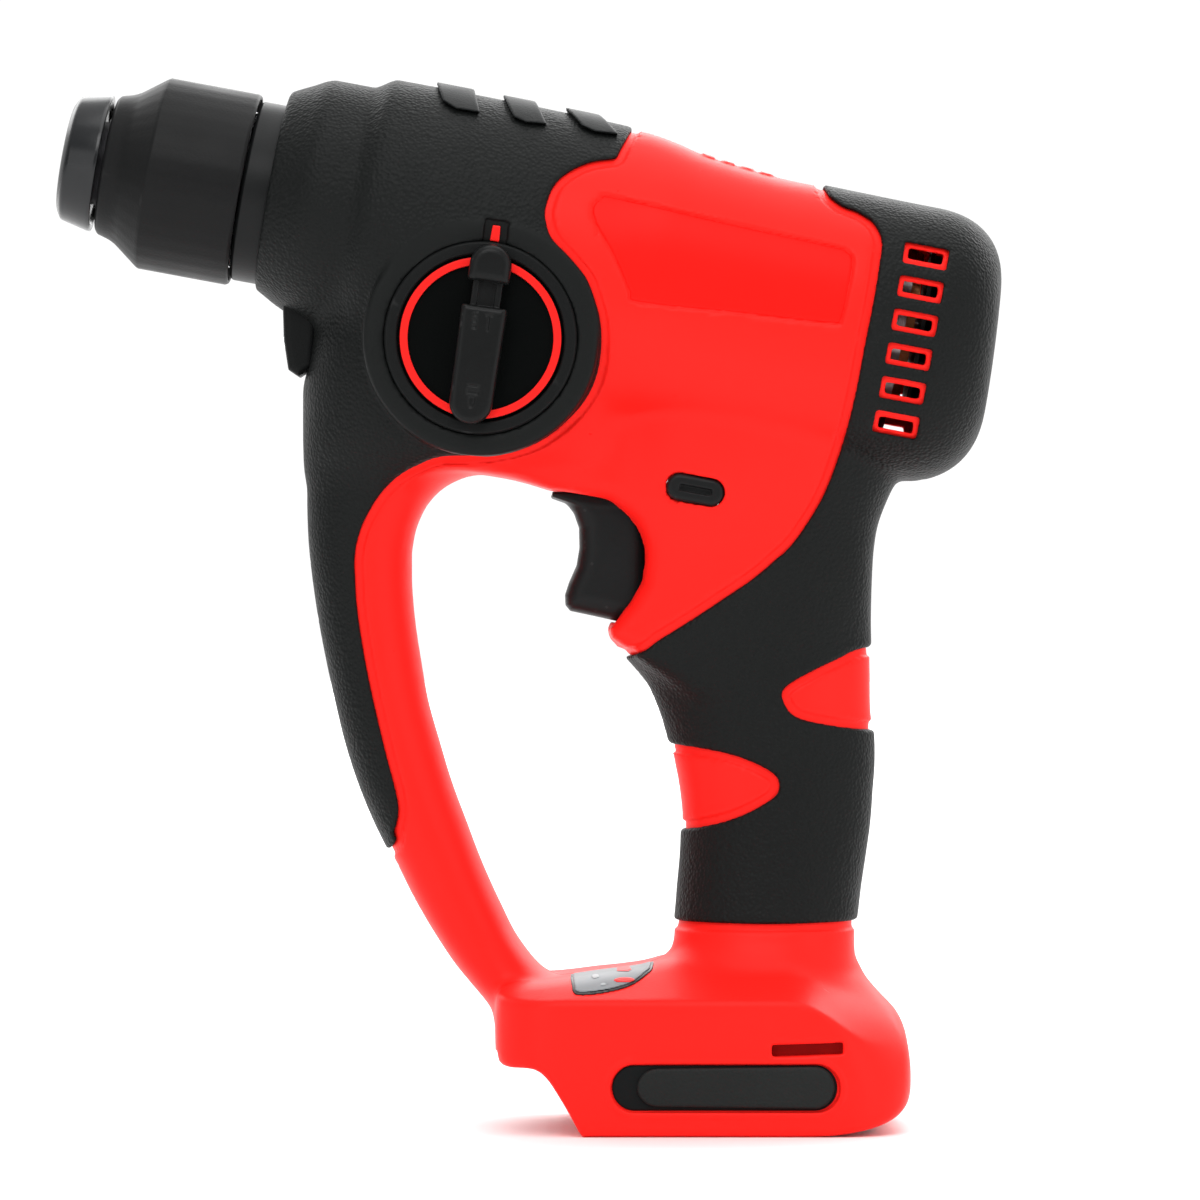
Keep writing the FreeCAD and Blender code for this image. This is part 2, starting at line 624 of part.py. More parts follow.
seal.Radius1 = 9.84
seal.Radius2 = 1.1
node(seal, "striker_ring", BARREL * Placement(Vector(0, 0, 105.2), Rotation()))

# The piston's tail is a flat block with a hole for the wobble ring's ball finger.
piston = turned("piston", [
    (0, 118.5), (dim("cylinder_r") - dim("running"), 118.5),
    (dim("cylinder_r") - dim("running"), 131.0), (7.0, 133.0), (7.0, 156.0), (0, 156.0),
])
pocket(piston, "tail_flats", [
    [(5.0, -9), (9.0, -9), (9.0, 9), (5.0, 9)], [(-9.0, -9), (-5.0, -9), (-5.0, 9), (-9.0, 9)],
], 13, start=144.0, away=True)
pocket(piston, "finger_hole", [(0, dim("wobble_station"), 3.5)], 30, role="YZ_Plane", both=True)


# ---------------------------------------------------------------- gears

def involute_gear(teeth, thickness, bore, gear_module, turn_deg):
    """A straight involute gear, 25 degree pressure angle, about z from z = 0."""
    pitch_r = teeth * gear_module / 2
    base_r = pitch_r * math.cos(math.radians(25))
    tip_r = pitch_r + 0.9 * gear_module
    root_r = pitch_r - 1.15 * gear_module
    inv_pitch = math.tan(math.radians(25)) - math.radians(25)
    half_pitch = math.pi / (2 * teeth) - 0.035 * gear_module / pitch_r

    def half_angle(radius):
        alpha = math.acos(min(1.0, base_r / radius))
        return half_pitch + inv_pitch - (math.tan(alpha) - alpha)

    start_r = max(base_r, root_r + 0.15)
    radii = [start_r + (tip_r - start_r) * k / 4 for k in range(5)]
    corners = []
    for tooth in range(teeth):
        middle = math.radians(turn_deg) + 2 * math.pi * tooth / teeth
        corners.append((root_r, middle - half_angle(start_r) * 1.06))
        corners += [(r, middle - half_angle(r)) for r in radii]
        corners += [(r, middle + half_angle(r)) for r in reversed(radii)]
        corners.append((root_r, middle + half_angle(start_r) * 1.06))
    points = [Vector(r * math.cos(a), r * math.sin(a), 0) for r, a in corners]
    gear = Part.Face(Part.makePolygon(points + points[:1])).extrude(UP * thickness)
    if bore > 0:
        gear = gear.cut(Part.makeCylinder(bore, thickness, Vector(0, 0, 0), UP))
    return gear


gear_module = VALUES["module_mm"]
# Each pair meshes on the line between its axes, along x: a tooth meets a gap there.
formed("spindle_gear", involute_gear(VALUES["spindle_teeth"], 8, VALUES["tube_r"], gear_module, 0.0),
       BARREL * Placement(Vector(0, 0, 114), Rotation()))
lay_pinion = involute_gear(VALUES["lay_pinion_teeth"], 10, 0, gear_module, 15.0)
lay_pinion.Placement = Placement(Vector(0, 0, 113), Rotation())
lay_shaft = Part.makeCylinder(VALUES["lay_r"], 72, Vector(0, 0, 104), UP).fuse(lay_pinion)
formed("intermediate_shaft", lay_shaft, LAY)
formed("intermediate_gear", involute_gear(VALUES["lay_gear_teeth"], 6, VALUES["lay_r"], gear_module, 0.0),
       LAY * Placement(Vector(0, 0, 164), Rotation()))
formed("motor_pinion", involute_gear(VALUES["motor_teeth"], 7.5, VALUES["motor_shaft_r"], gear_module, 18.0),
       MOTOR * Placement(Vector(0, 0, 163.5), Rotation()))
for name, start in (("lay_front_bearing", 102.4), ("lay_rear_bearing", 172.4)):
    turned(name, [
        (dim("lay_r") + dim("running"), start), (dim("lay_bearing_r"), start),
        (dim("lay_bearing_r"), start + 5.2), (dim("lay_r") + dim("running"), start + 5.2),
    ], LAY)

# ---------------------------------------------------------------- wobble drive

WOBBLE = BARREL * Placement(Vector(-VALUES["lay_drop"], 0, VALUES["wobble_station"]), Rotation())
hub_r = VALUES["hub_r"]
hub = Part.makeSphere(hub_r).common(Part.makeCylinder(hub_r, 14, Vector(0, 0, -7), UP))
hub = hub.cut(Part.makeCylinder(VALUES["lay_r"], 20, Vector(0, 0, -10), UP))
formed("wobble_hub", hub, WOBBLE)
wobble = Part.makeCylinder(VALUES["ring_r"], 8, Vector(0, 0, -4), UP)
wobble = wobble.fuse(Part.makeCylinder(2.1, 12, Vector(13, 0, 0), REARWARD))
wobble = wobble.fuse(Part.makeSphere(3.35, Vector(VALUES["lay_drop"], 0, 0)))
wobble = wobble.cut(Part.makeSphere(hub_r + VALUES["running"]))
formed("wobble_ring", wobble, WOBBLE)

# ---------------------------------------------------------------- motor

motor_drop = dim("motor_drop")
lay_drop = dim("lay_drop")
padded("motor_plate", [
    (-33, -15), (-14, -26), (12, -24.6), (20, -16), (20, 16), (12, 24.6), (-14, 26), (-33, 15),
], 5.6, BARREL, start=172,
    holes=[(-motor_drop, 0, dim("motor_bearing_r")), (-lay_drop, 0, dim("lay_bearing_r"))])
turned("motor_front_bearing", [
    (dim("motor_shaft_r") + dim("running"), 172.4), (dim("motor_bearing_r"), 172.4),
    (dim("motor_bearing_r"), 177.4), (dim("motor_shaft_r") + dim("running"), 177.4),
], MOTOR)
turned("rotor_shaft", [
    (0, 163.0), (2.6, 163.0), (dim("motor_shaft_r"), 163.4), (dim("motor_shaft_r"), 230.0), (0, 230.0),
], MOTOR)
turned("rotor_core", [
    (dim("motor_shaft_r"), dim("stator_start")), (dim("rotor_r"), dim("stator_start")),
    (dim("rotor_r"), dim("stator_end")), (dim("motor_shaft_r"), dim("stator_end")),
], MOTOR)
turned("stator_core", [
    (dim("stator_r") - 4, dim("stator_start")), (dim("stator_r"), dim("stator_start")),
    (dim("stator_r"), dim("stator_end")), (dim("stator_r") - 4, dim("stator_end")),
], MOTOR)
turned("stator_windings", [
    (dim("rotor_r") + 0.6, dim("stator_start") - 2.4), (dim("stator_r") - 5, dim("stator_start") - 2.4),
    (dim("stator_r") - 4, dim("stator_start")), (dim("stator_r") - 4, dim("stator_end")),
    (dim("stator_r") - 5, dim("stator_end") + 2.4), (dim("rotor_r") + 0.6, dim("stator_end") + 2.4),
], MOTOR)
fan = turned("cooling_fan", [
    (dim("motor_shaft_r"), 217.0), (dim("fan_r"), 217.0), (dim("fan_r"), 218.0), (6.0, 218.0),
    (6.0, 225.0), (dim("motor_shaft_r"), 225.0),
], MOTOR)
blade_sketch = new_sketch(fan, "XY_Plane", "blade_sketch", 217.5)
outline(blade_sketch, [(5.5, 1.0), (20.0, 4.6), (20.0, 5.8), (5.5, 2.2)])
blade = fan.newObject("PartDesign::Pad", "blade")
blade.Profile = blade_sketch
blade.Length = 6.5
blades = fan.newObject("PartDesign::PolarPattern", "blades")
blades.Originals = [blade]
blades.Axis = (base_plane(fan, "Z_Axis"), [""])
blades.Angle = 360
blades.Occurrences = 11
fan.Tip = blades
doc.recompute()
turned("motor_rear_bearing", [
    (dim("motor_shaft_r") + dim("running"), 226.4), (7.0, 226.4), (7.0, 230.6),
    (dim("motor_shaft_r") + dim("running"), 230.6),
], MOTOR)

# ---------------------------------------------------------------- electrics and battery interface

padded("control_module", [(-22, -16), (24, -16), (24, 16), (-22, 16)], 7,
       Placement(Vector(0, 0, 24.2), Rotation()))
switch = padded("switch_unit", [(-17.2, 132), (8, 132), (8, 152), (-17.2, 152)], 20,
                LEFT_VIEW * Placement(Vector(0, 0, -10), Rotation()))
pocket(switch, "plunger_hole", [(142, 10, 3.2)], 50, role="YZ_Plane", both=True)
padded("terminal_block", [(6, -17), (30, -17), (30, 17), (6, 17)], 6.5,
       Placement(Vector(0, 0, 13.5), Rotation()))
for side, name in ((-1, "left"), (1, "right")):
    low, high = sorted((side * 10.4, side * 11.6))
    padded(name + "_terminal_blade", [(8, low), (26, low), (26, high), (8, high)], 6.5,
           Placement(Vector(0, 0, 7.0), Rotation()))

# ---------------------------------------------------------------- trigger and push bar

half_trigger = VALUES["trigger_half_y"]
finger_piece = side_prism(TRIGGER, -half_trigger, half_trigger)
front_edges = []
for edge in finger_piece.Edges:
    box = edge.BoundBox
    flat = box.YLength < 0.01
    if flat and box.XMax < -41.5 and box.ZMin > 129 and box.ZMax < 158.1 and box.ZLength > 1:
        front_edges.append(edge)
finger_piece = finger_piece.makeFillet(2.6, front_edges)
back_piece = Part.makeBox(10, 16, 20, Vector(-34, -8, 131.5))
plunger = Part.makeCylinder(3.1, 14, Vector(-24.5, 0, 142), REARWARD)
formed("trigger", finger_piece.fuse([back_piece, plunger]).removeSplitter())
bar_corners = slot_corners(BUTTON_AT, BUTTON_LENGTH, BUTTON_HEIGHT)
bar_half = VALUES["button_half_length"]
formed("push_bar", side_prism(bar_corners, -bar_half, bar_half))

# ---------------------------------------------------------------- mode selector

turned("dial_seat", [
    (4.2, 26.4), (dim("seat_r"), 26.4), (dim("seat_r"), 33.0), (dim("seat_r") - 2.4, 34.4),
    (dim("bezel_r"), 34.4), (dim("bezel_r"), 33.0), (4.2, 33.0),
], DIAL)
turned("dial_bezel", [
    (dim("dial_r") + 0.3, 33.0), (dim("bezel_r"), 33.0), (dim("bezel_r"), 34.9),
    (dim("bezel_r") - 0.7, 35.5), (dim("dial_r") + 1.0, 35.5), (dim("dial_r") + 0.3, 34.8),
], DIAL)
padded("dial_pointer", [(-1.1, 23.7), (1.1, 23.7), (1.1, 26.3), (-1.1, 26.3)], 0.8,
       DIAL * Placement(Vector(0, 0, 34.4), Rotation()))
dial = turned("mode_dial", [
    (0, 18.0), (4.1, 18.0), (4.1, 33.3), (dim("dial_r"), 33.3), (dim("dial_r"), 34.9),
    (19.8, 35.2), (19.8, 34.2), (17.5, 34.2), (17.5, 35.2), (0, 35.2),
], DIAL)


def lever_corners(half_width, low, high, steps=10):
    corners = [(half_width, high), (-half_width, high)]
    for k in range(steps + 1):
        angle = math.radians(180 + 180 * k / steps)
        corners.append((half_width * math.cos(angle), low + half_width + half_width * math.sin(angle)))
    return corners


lever_sketch = new_sketch(dial, "XY_Plane", "lever_sketch", 34.0)
outline(lever_sketch, lever_corners(5.6, -20.4, 8.2))
lever = dial.newObject("PartDesign::Pad", "lever")
lever.Profile = lever_sketch
lever.Length = 7.4
neck_sketch = new_sketch(dial, "XY_Plane", "neck_sketch", 34.0)
outline(neck_sketch, [(-3.8, 8.0), (3.8, 8.0), (3.8, 12.4), (-3.8, 12.4)])
neck = dial.newObject("PartDesign::Pad", "neck")
neck.Profile = neck_sketch
neck.Length = 5.6
doc.recompute()
half_ring = Part.makeCylinder(19.8, 1.2, Vector(0, 0, 34.2), UP)
half_ring = half_ring.cut(Part.makeCylinder(17.5, 1.2, Vector(0, 0, 34.2), UP))
half_ring = half_ring.cut(Part.makeBox(11.3, 60, 4, Vector(-5.65, -30, 33)))
formed("dial_red_ring", half_ring, DIAL)
cap_body = Part.makeCylinder(5.6, 6.6, Vector(0, 16.8, 34.4), UP)
cap_body = cap_body.fuse(Part.makeBox(11.2, 4.0, 6.6, Vector(-5.6, 12.8, 34.4)))
cap_body = cap_body.cut(Part.makeCylinder(17.5, 0.9, Vector(0, 0, 34.3), UP))
cap_body = cap_body.cut(Part.makeBox(30, 30, 1.5, Vector(-15, 0, 34.3)))
cap_body = cap_body.cut(Part.makeBox(8.2, 6.0, 5.6, Vector(-4.1, 10.0, 34.3)))
cap_body = cap_body.removeSplitter()
formed("mode_lock_button", cap_body, DIAL)

# ---------------------------------------------------------------- lamp

lamp = doc.addObject("Part::Box", "lamp_block")
lamp.Length = 5.0
lamp.Width = 18.0
lamp.Height = 15.4
node(lamp, "lamp_housing", Placement(Vector(-115.2, -9, 188.5), Rotation()))
lens = doc.addObject("Part::Cylinder", "lamp_glass")
lens.Radius = 4.2
lens.Height = 1.4
node(lens, "lamp_lens", Placement(Vector(-116.6, 0, 196.6), Rotation(SIDE, 90)))

# ---------------------------------------------------------------- housing screws

for index, (x, z, reach) in enumerate(SCREWS, start=1):
    at = Placement(Vector(x, 0, z), Rotation(REARWARD, 90) * Rotation(REARWARD, 180))
    screw = turned(f"housing_screw_{index}", [
        (0, -reach + 5.0), (dim("screw_r"), -reach + 5.0), (dim("screw_r"), 7.0), (3.4, 7.0),
        (3.4, 8.6), (2.4, 9.6), (0, 9.6),
    ], at)
    pocket(screw, f"drive_recess_{index}", [
        [(1.5 * math.cos(math.radians(a)), 1.5 * math.sin(math.radians(a))) for a in range(15, 360, 60)],
    ], 1.8, start=9.7)

# ---------------------------------------------------------------- checks and files

doc.recompute()
for item in doc.Objects:
    if "Invalid" in item.State or "Error" in item.State:
        raise RuntimeError(f"{item.Label} failed: {item.State}")
os.makedirs("parts", exist_ok=True)
for item in NODES:
    shape = item.Shape
    if shape.isNull() or not shape.isValid() or shape.Volume <= 0:
        raise RuntimeError(f"{item.Label} has no valid shape")
    shape.exportStep(f"parts/{item.Label}.step")
    print(f"{item.Label:26s} {shape.Volume / 1000:9.3f} cm3  {len(shape.Solids)} solid(s)")
print(len(NODES), "nodes")
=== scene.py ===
import json
import math
import bmesh
import bpy
import numpy as np
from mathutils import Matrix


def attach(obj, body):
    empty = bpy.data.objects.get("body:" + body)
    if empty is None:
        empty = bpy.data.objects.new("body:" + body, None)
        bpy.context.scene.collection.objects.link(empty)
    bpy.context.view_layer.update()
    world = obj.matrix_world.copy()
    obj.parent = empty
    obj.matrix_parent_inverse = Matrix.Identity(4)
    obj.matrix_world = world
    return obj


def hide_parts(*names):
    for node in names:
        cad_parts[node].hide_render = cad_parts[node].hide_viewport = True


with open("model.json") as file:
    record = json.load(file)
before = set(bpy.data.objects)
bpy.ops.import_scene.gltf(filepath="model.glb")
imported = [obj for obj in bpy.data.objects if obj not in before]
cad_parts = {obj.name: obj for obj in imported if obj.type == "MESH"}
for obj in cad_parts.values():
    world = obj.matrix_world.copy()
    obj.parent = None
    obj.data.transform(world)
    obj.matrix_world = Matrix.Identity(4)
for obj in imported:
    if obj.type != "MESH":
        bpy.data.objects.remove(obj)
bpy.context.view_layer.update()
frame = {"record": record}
import openvdb as vdb
from mathutils import Matrix, Vector

# ------------------------------------------------------------------ frame, in millimetres
# +Z up, -X towards the nose, -Y the dial side. The barrel axis rises towards the nose.
TILT = math.radians(10.5)
NOSE_X, NOSE_Z = -169.75, 242.0
COS, SIN = math.cos(TILT), math.sin(TILT)
DIAL_X, DIAL_Z = -65.5, 195.4
STEP = 0.5
LOW = np.array([-124.0, -43.5, -2.0])
HIGH = np.array([68.0, 4.5, 267.0])
COUNT = np.ceil((HIGH - LOW) / STEP).astype(int) + 1
xs = (LOW[0] + STEP * np.arange(COUNT[0])).astype(np.float32)
ys = (LOW[1] + STEP * np.arange(COUNT[1])).astype(np.float32)
zs = (LOW[2] + STEP * np.arange(COUNT[2])).astype(np.float32)
X2, Z2 = np.meshgrid(xs, zs, indexing="ij")
S2 = (X2 - NOSE_X) * COS - (Z2 - NOSE_Z) * SIN
N2 = (X2 - NOSE_X) * SIN + (Z2 - NOSE_Z) * COS
Y1 = np.abs(ys)


# ------------------------------------------------------------------ field helpers

def soft_min(a, b, k):
    h = np.maximum(k - np.abs(a - b), 0.0) / k
    return np.minimum(a, b) - h * h * (k * 0.25)


def soft_max(a, b, k):
    return -soft_min(-a, -b, k)


def ramp(value, low, high):
    t = np.clip((value - low) / (high - low), 0.0, 1.0)
    return t * t * (3 - 2 * t)


def curve_rows(rows, at):
    """Smoothly interpolates each column of rows (first column the station) at the stations given."""
    rows = np.array(sorted(rows), dtype=float)
    stations, columns = rows[:, 0], rows[:, 1:]
    slopes = np.gradient(columns, stations, axis=0)
    at = np.clip(at, stations[0], stations[-1])
    k = np.clip(np.searchsorted(stations, at, side="right") - 1, 0, len(stations) - 2)
    h = (stations[k + 1] - stations[k])
    t = (at - stations[k]) / h
    out = []
    for c in range(columns.shape[1]):
        p0, p1 = columns[k, c], columns[k + 1, c]
        lo, hi = np.minimum(p0, p1), np.maximum(p0, p1)
        m0, m1 = slopes[k, c] * h, slopes[k + 1, c] * h
        v = ((2 * t**3 - 3 * t**2 + 1) * p0 + (t**3 - 2 * t**2 + t) * m0
             + (-2 * t**3 + 3 * t**2) * p1 + (t**3 - t**2) * m1)
        slack = 0.15 * (hi - lo)
        out.append(np.clip(v, lo - slack, hi + slack).astype(np.float32))
    return out


def smooth_outline(corners, steps=6):
    """A closed smooth line through the corners."""
    p = np.array(corners, dtype=float)
    count = len(p)
    line = []
    for i in range(count):
        a, b, c, d = p[i - 1], p[i], p[(i + 1) % count], p[(i + 2) % count]
        for t in np.arange(steps) / steps:
            line.append(0.5 * (2 * b + (c - a) * t + (2 * a - 5 * b + 4 * c - d) * t * t
                               + (3 * b - a - 3 * c + d) * t**3))
    return np.array(line)


def outline_distance(px, pz, line):
    """Signed distance to a closed line, negative inside."""
    best = np.full(px.shape, 1e9, dtype=np.float32)
    inside = np.zeros(px.shape, dtype=bool)
    for a, b in zip(line, np.roll(line, -1, axis=0)):
        ex, ez = b - a
        length = ex * ex + ez * ez
        if length < 1e-9:
            continue
        wx, wz = px - a[0], pz - a[1]
        t = np.clip((wx * ex + wz * ez) / length, 0, 1)
        best = np.minimum(best, (wx - ex * t) ** 2 + (wz - ez * t) ** 2)
        if a[1] != b[1]:
            crosses = (a[1] > pz) != (b[1] > pz)
            inside ^= crosses & (px < a[0] + (pz - a[1]) * ex / (b[1] - a[1]))
    best = np.sqrt(best)
    return np.where(inside, -best, best).astype(np.float32)


def flat(field):
    """A side-view field spread across the tool's width."""
    return field[:, None, :]


def oval_field(along, side, half_along, half_side, power):
    """Roughly the distance to a squarish oval, from coordinates about its middle."""
    a = np.abs(along) / half_along
    b = np.abs(side) / half_side
    r = (a**power + b**power) ** (1.0 / power)
    reach = np.sqrt(along**2 + side**2)
    return np.where(r > 1e-3, reach * (1 - 1 / np.maximum(r, 1e-3)), -np.minimum(half_along, half_side))


def level_form(rows):
    """Distance field of a form given by level sections (height, front, rear, half width, power)."""
    stations = [row[0] for row in rows]
    k0 = max(0, int((min(stations) - 8 - LOW[2]) / STEP))
    k1 = min(len(zs), int((max(stations) + 8 - LOW[2]) / STEP))
    x_low = min(row[1] for row in rows) - 10
    x_high = max(row[2] for row in rows) + 10
    i0 = max(0, int((x_low - LOW[0]) / STEP))
    i1 = min(len(xs), int((x_high - LOW[0]) / STEP))
    z = zs[k0:k1]
    front, rear, half, power = (v[None, None, :] for v in curve_rows(rows, z))
    along = xs[i0:i1][:, None, None] - (front + rear) / 2
    field = oval_field(along, Y1[None, :, None] + 0 * along, (rear - front) / 2, half, power)
    ends = np.maximum(min(stations) - z, z - max(stations))[None, None, :]
    field = soft_max(field, np.broadcast_to(ends, field.shape).astype(np.float32), 5.0)
    return (slice(i0, i1), slice(None), slice(k0, k1)), field.astype(np.float32)


def join(form, part, k):
    where, field = part
    form[where] = soft_min(form[where], field, k)


def true_distance(form):
    """Turns a rough field into real distances, in millimetres, near its surface."""
    grid = vdb.FloatGrid(background=3.0)
    grid.copyFromArray(np.clip(form / STEP, -3, 3).astype(np.float32))
    points, triangles, quads = grid.convertToPolygons(0.0, 0.0)
    band = 9.0
    if len(triangles):
        level = vdb.FloatGrid.createLevelSetFromPolygons(
            points, triangles=triangles, quads=quads,
            transform=vdb.createLinearTransform(1.0), halfWidth=band)
    else:
        level = vdb.FloatGrid.createLevelSetFromPolygons(
            points, quads=quads, transform=vdb.createLinearTransform(1.0), halfWidth=band)
    out = np.full(form.shape, band, dtype=np.float32)
    level.copyToArray(out)
    return out * STEP


def mesh_from_field(name, field, low, step, mirror=False, thin=0.0, place=None, settle=2):
    """A closed mesh, in metres, round the negative part of a field."""
    grid = vdb.FloatGrid(background=3.0)
    padded = np.pad(np.clip(field / step, -3, 3).astype(np.float32), 1, constant_values=3.0)
    grid.copyFromArray(padded)
    points, triangles, quads = grid.convertToPolygons(0.0, thin)
    points = (points - 1.0) * step + np.array(low)
    if mirror:
        points[:, 1] *= -1
    order = (0, 1, 2, 3) if mirror else (3, 2, 1, 0)
    turn = (0, 1, 2) if mirror else (2, 1, 0)
    indices, totals = [], []
    if len(quads):
        indices.append(quads[:, order].ravel())
        totals.append(np.full(len(quads), 4))
    if len(triangles):
        indices.append(triangles[:, turn].ravel())
        totals.append(np.full(len(triangles), 3))
    totals = np.concatenate(totals).astype(np.int32)
    starts = np.concatenate([[0], np.cumsum(totals)[:-1]]).astype(np.int32)
    mesh = bpy.data.meshes.new(name)
    mesh.vertices.add(len(points))
    mesh.loops.add(int(totals.sum()))
    mesh.loops.foreach_set("vertex_index", np.concatenate(indices).astype(np.int32))
    mesh.polygons.add(len(starts))
    mesh.polygons.foreach_set("loop_start", starts)
    mesh.polygons.foreach_set("loop_total", totals)
    mesh.update(calc_edges=True)
    # Two gentle passes take the grid's steps out of the edges without shrinking the form.
    edges = np.empty(len(mesh.edges) * 2, dtype=np.int32)
    mesh.edges.foreach_get("vertices", edges)
    one, two = edges[0::2], edges[1::2]
    degree = np.maximum(np.bincount(edges, minlength=len(points)), 1)
    points = points.astype(np.float64)
    for weight in (0.5, -0.53) * settle:
        total = np.empty_like(points)
        for axis in range(3):
            total[:, axis] = (np.bincount(one, points[two, axis], len(points))
                              + np.bincount(two, points[one, axis], len(points)))
        points += weight * (total / degree[:, None] - points)
    points *= 0.001
    if place is not None:
        turn_by = np.array(place.to_3x3())
        points = points @ turn_by.T + np.array(place.translation)
    mesh.vertices.foreach_set("co", points.astype(np.float32).ravel())
    mesh.update()
    mesh.validate()
    mesh.shade_smooth()
    return mesh


class Block:
    """A fine local grid for small pieces, with the tool's own distance field on it."""

    def __init__(self, lows, highs, step):
        self.low, self.step = lows, step
        self.x, self.y, self.z = (np.arange(lo, hi + step, step, dtype=np.float32)
                                  for lo, hi in zip(lows, highs))
        self.x2, self.z2 = np.meshgrid(self.x, self.z, indexing="ij")
        self.y3 = self.y[None, :, None]
        self.x3 = self.x[:, None, None]
        self.z3 = self.z[None, None, :]

    def distance(self):
        out = D
        for axis, (at, start) in enumerate(((self.x, LOW[0]), (-np.abs(self.y), LOW[1]), (self.z, LOW[2]))):
            place = (at - start) / STEP
            index = np.clip(place.astype(int), 0, out.shape[axis] - 2)
            part = (place - index).astype(np.float32)
            shape = [1, 1, 1]
            shape[axis] = -1
            part = part.reshape(shape)
            out = out.take(index, axis) * (1 - part) + out.take(index + 1, axis) * part
        return out

    def mesh(self, name, field, place=None, settle=2):
        field = np.broadcast_to(field, (len(self.x), len(self.y), len(self.z)))
        return mesh_from_field(name, field, self.low, self.step, place=place, settle=settle)


def filleted(profile, size=0.35, steps=3):
    """Rounds each corner of a closed (radius, station) loop; a third value sets its own size."""
    out = []
    count = len(profile)
    for k in range(count):
        a, b, c = (np.array(profile[j][:2], dtype=float) for j in (k - 1, k, (k + 1) % count))
        r = profile[k][2] if len(profile[k]) > 2 else size
        to_a, to_c = a - b, c - b
        la, lc = np.linalg.norm(to_a), np.linalg.norm(to_c)
        r = min(r, la * 0.45, lc * 0.45)
        start, end = b + to_a / la * r, b + to_c / lc * r
        for t in np.linspace(0, 1, steps + 1):
            out.append((1 - t) ** 2 * start + 2 * t * (1 - t) * b + t * t * end)
    return out


def lathe(name, profile, place, around=144, ripple=None):
    """A turned piece: the (radius, station) loop swept round the local z axis."""
    loop = np.array(filleted(profile))
    ring = len(loop)
    turn = np.linspace(0, 2 * math.pi, around, endpoint=False)
    points = np.empty((around, ring, 3))
    radius = np.repeat(loop[None, :, 0], around, axis=0)
    if ripple is not None:
        radius = radius + ripple(turn[:, None], loop[None, :, 0], loop[None, :, 1])
    points[:, :, 0] = np.cos(turn)[:, None] * radius
    points[:, :, 1] = np.sin(turn)[:, None] * radius
    points[:, :, 2] = loop[None, :, 1]
    points = points.reshape(-1, 3) * 0.001
    faces = []
    for i in range(around):
        j = (i + 1) % around
        for k in range(ring):
            m = (k + 1) % ring
            faces.append((i * ring + k, j * ring + k, j * ring + m, i * ring + m))
    mesh = bpy.data.meshes.new(name)
    mesh.from_pydata(points.tolist(), [], faces)
    mesh.transform(place)
    tool = bmesh.new()
    tool.from_mesh(mesh)
    bmesh.ops.recalc_face_normals(tool, faces=tool.faces)
    tool.to_mesh(mesh)
    tool.free()
    mesh.shade_smooth()
    mesh.set_sharp_from_angle(angle=math.radians(35))
    return mesh


def frame_matrix(right, up, out, origin):
    """Placement, in metres, of a local frame whose axes and origin (millimetres) are given."""
    place = Matrix((right, up, out)).transposed().to_4x4()
    place.translation = Vector(origin) * 0.001
    return place


AXIS = Vector((COS, 0.0, -SIN))
RISE = Vector((SIN, 0.0, COS))
BARREL = frame_matrix(RISE, (0, -1, 0), AXIS, (NOSE_X, 0, NOSE_Z))
LEAN = math.radians(8.2)
LEVER = frame_matrix((math.cos(LEAN), 0, -math.sin(LEAN)), (math.sin(LEAN), 0, math.cos(LEAN)), (0, -1, 0),
                     (DIAL_X, 0, DIAL_Z))


def add_object(name, mesh, body, slot, material, *nodes):
    piece = bpy.data.objects.new(name, mesh)
    bpy.context.scene.collection.objects.link(piece)
    mesh.materials.clear()
    mesh.materials.append(material)
    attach(piece, body)
    if nodes:
        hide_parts(*nodes)
    return piece


# ------------------------------------------------------------------ the tool's form

# Across the barrel: station, lowest and highest from the axis, half width, squareness.
BARREL_ROWS = [
    (51.6, -22.9, 24.9, 24.2, 2.0), (54.0, -24.0, 26.2, 25.4, 2.0), (58.0, -26.2, 28.2, 27.5, 2.0),
    (62.6, -28.2, 30.4, 29.9, 2.0), (68.0, -30.0, 30.5, 30.5, 2.0), (73.2, -31.0, 30.5, 30.5, 2.0),
    (75.0, -31.8, 31.5, 31.2, 2.0), (77.9, -34.4, 33.3, 32.8, 2.02), (82.0, -36.6, 33.4, 33.7, 2.06),
    (88.0, -39.0, 33.4, 34.2, 2.12),
    (100.0, -42.0, 33.3, 34.2, 2.15), (120.0, -45.0, 33.0, 33.9, 2.2), (138.0, -46.0, 32.4, 33.5, 2.3),
    (145.0, -43.0, 31.9, 33.3, 2.4), (150.0, -41.0, 30.9, 33.3, 2.5), (156.0, -40.0, 29.4, 33.2, 2.6),
    (165.0, -40.2, 28.1, 33.1, 2.7), (177.0, -40.4, 27.0, 33.0, 2.75), (190.0, -41.0, 26.8, 33.0, 2.7),
    (207.0, -41.6, 26.5, 32.8, 2.6), (220.0, -41.0, 26.4, 32.2, 2.5), (238.0, -37.5, 26.2, 30.5, 2.4),
]
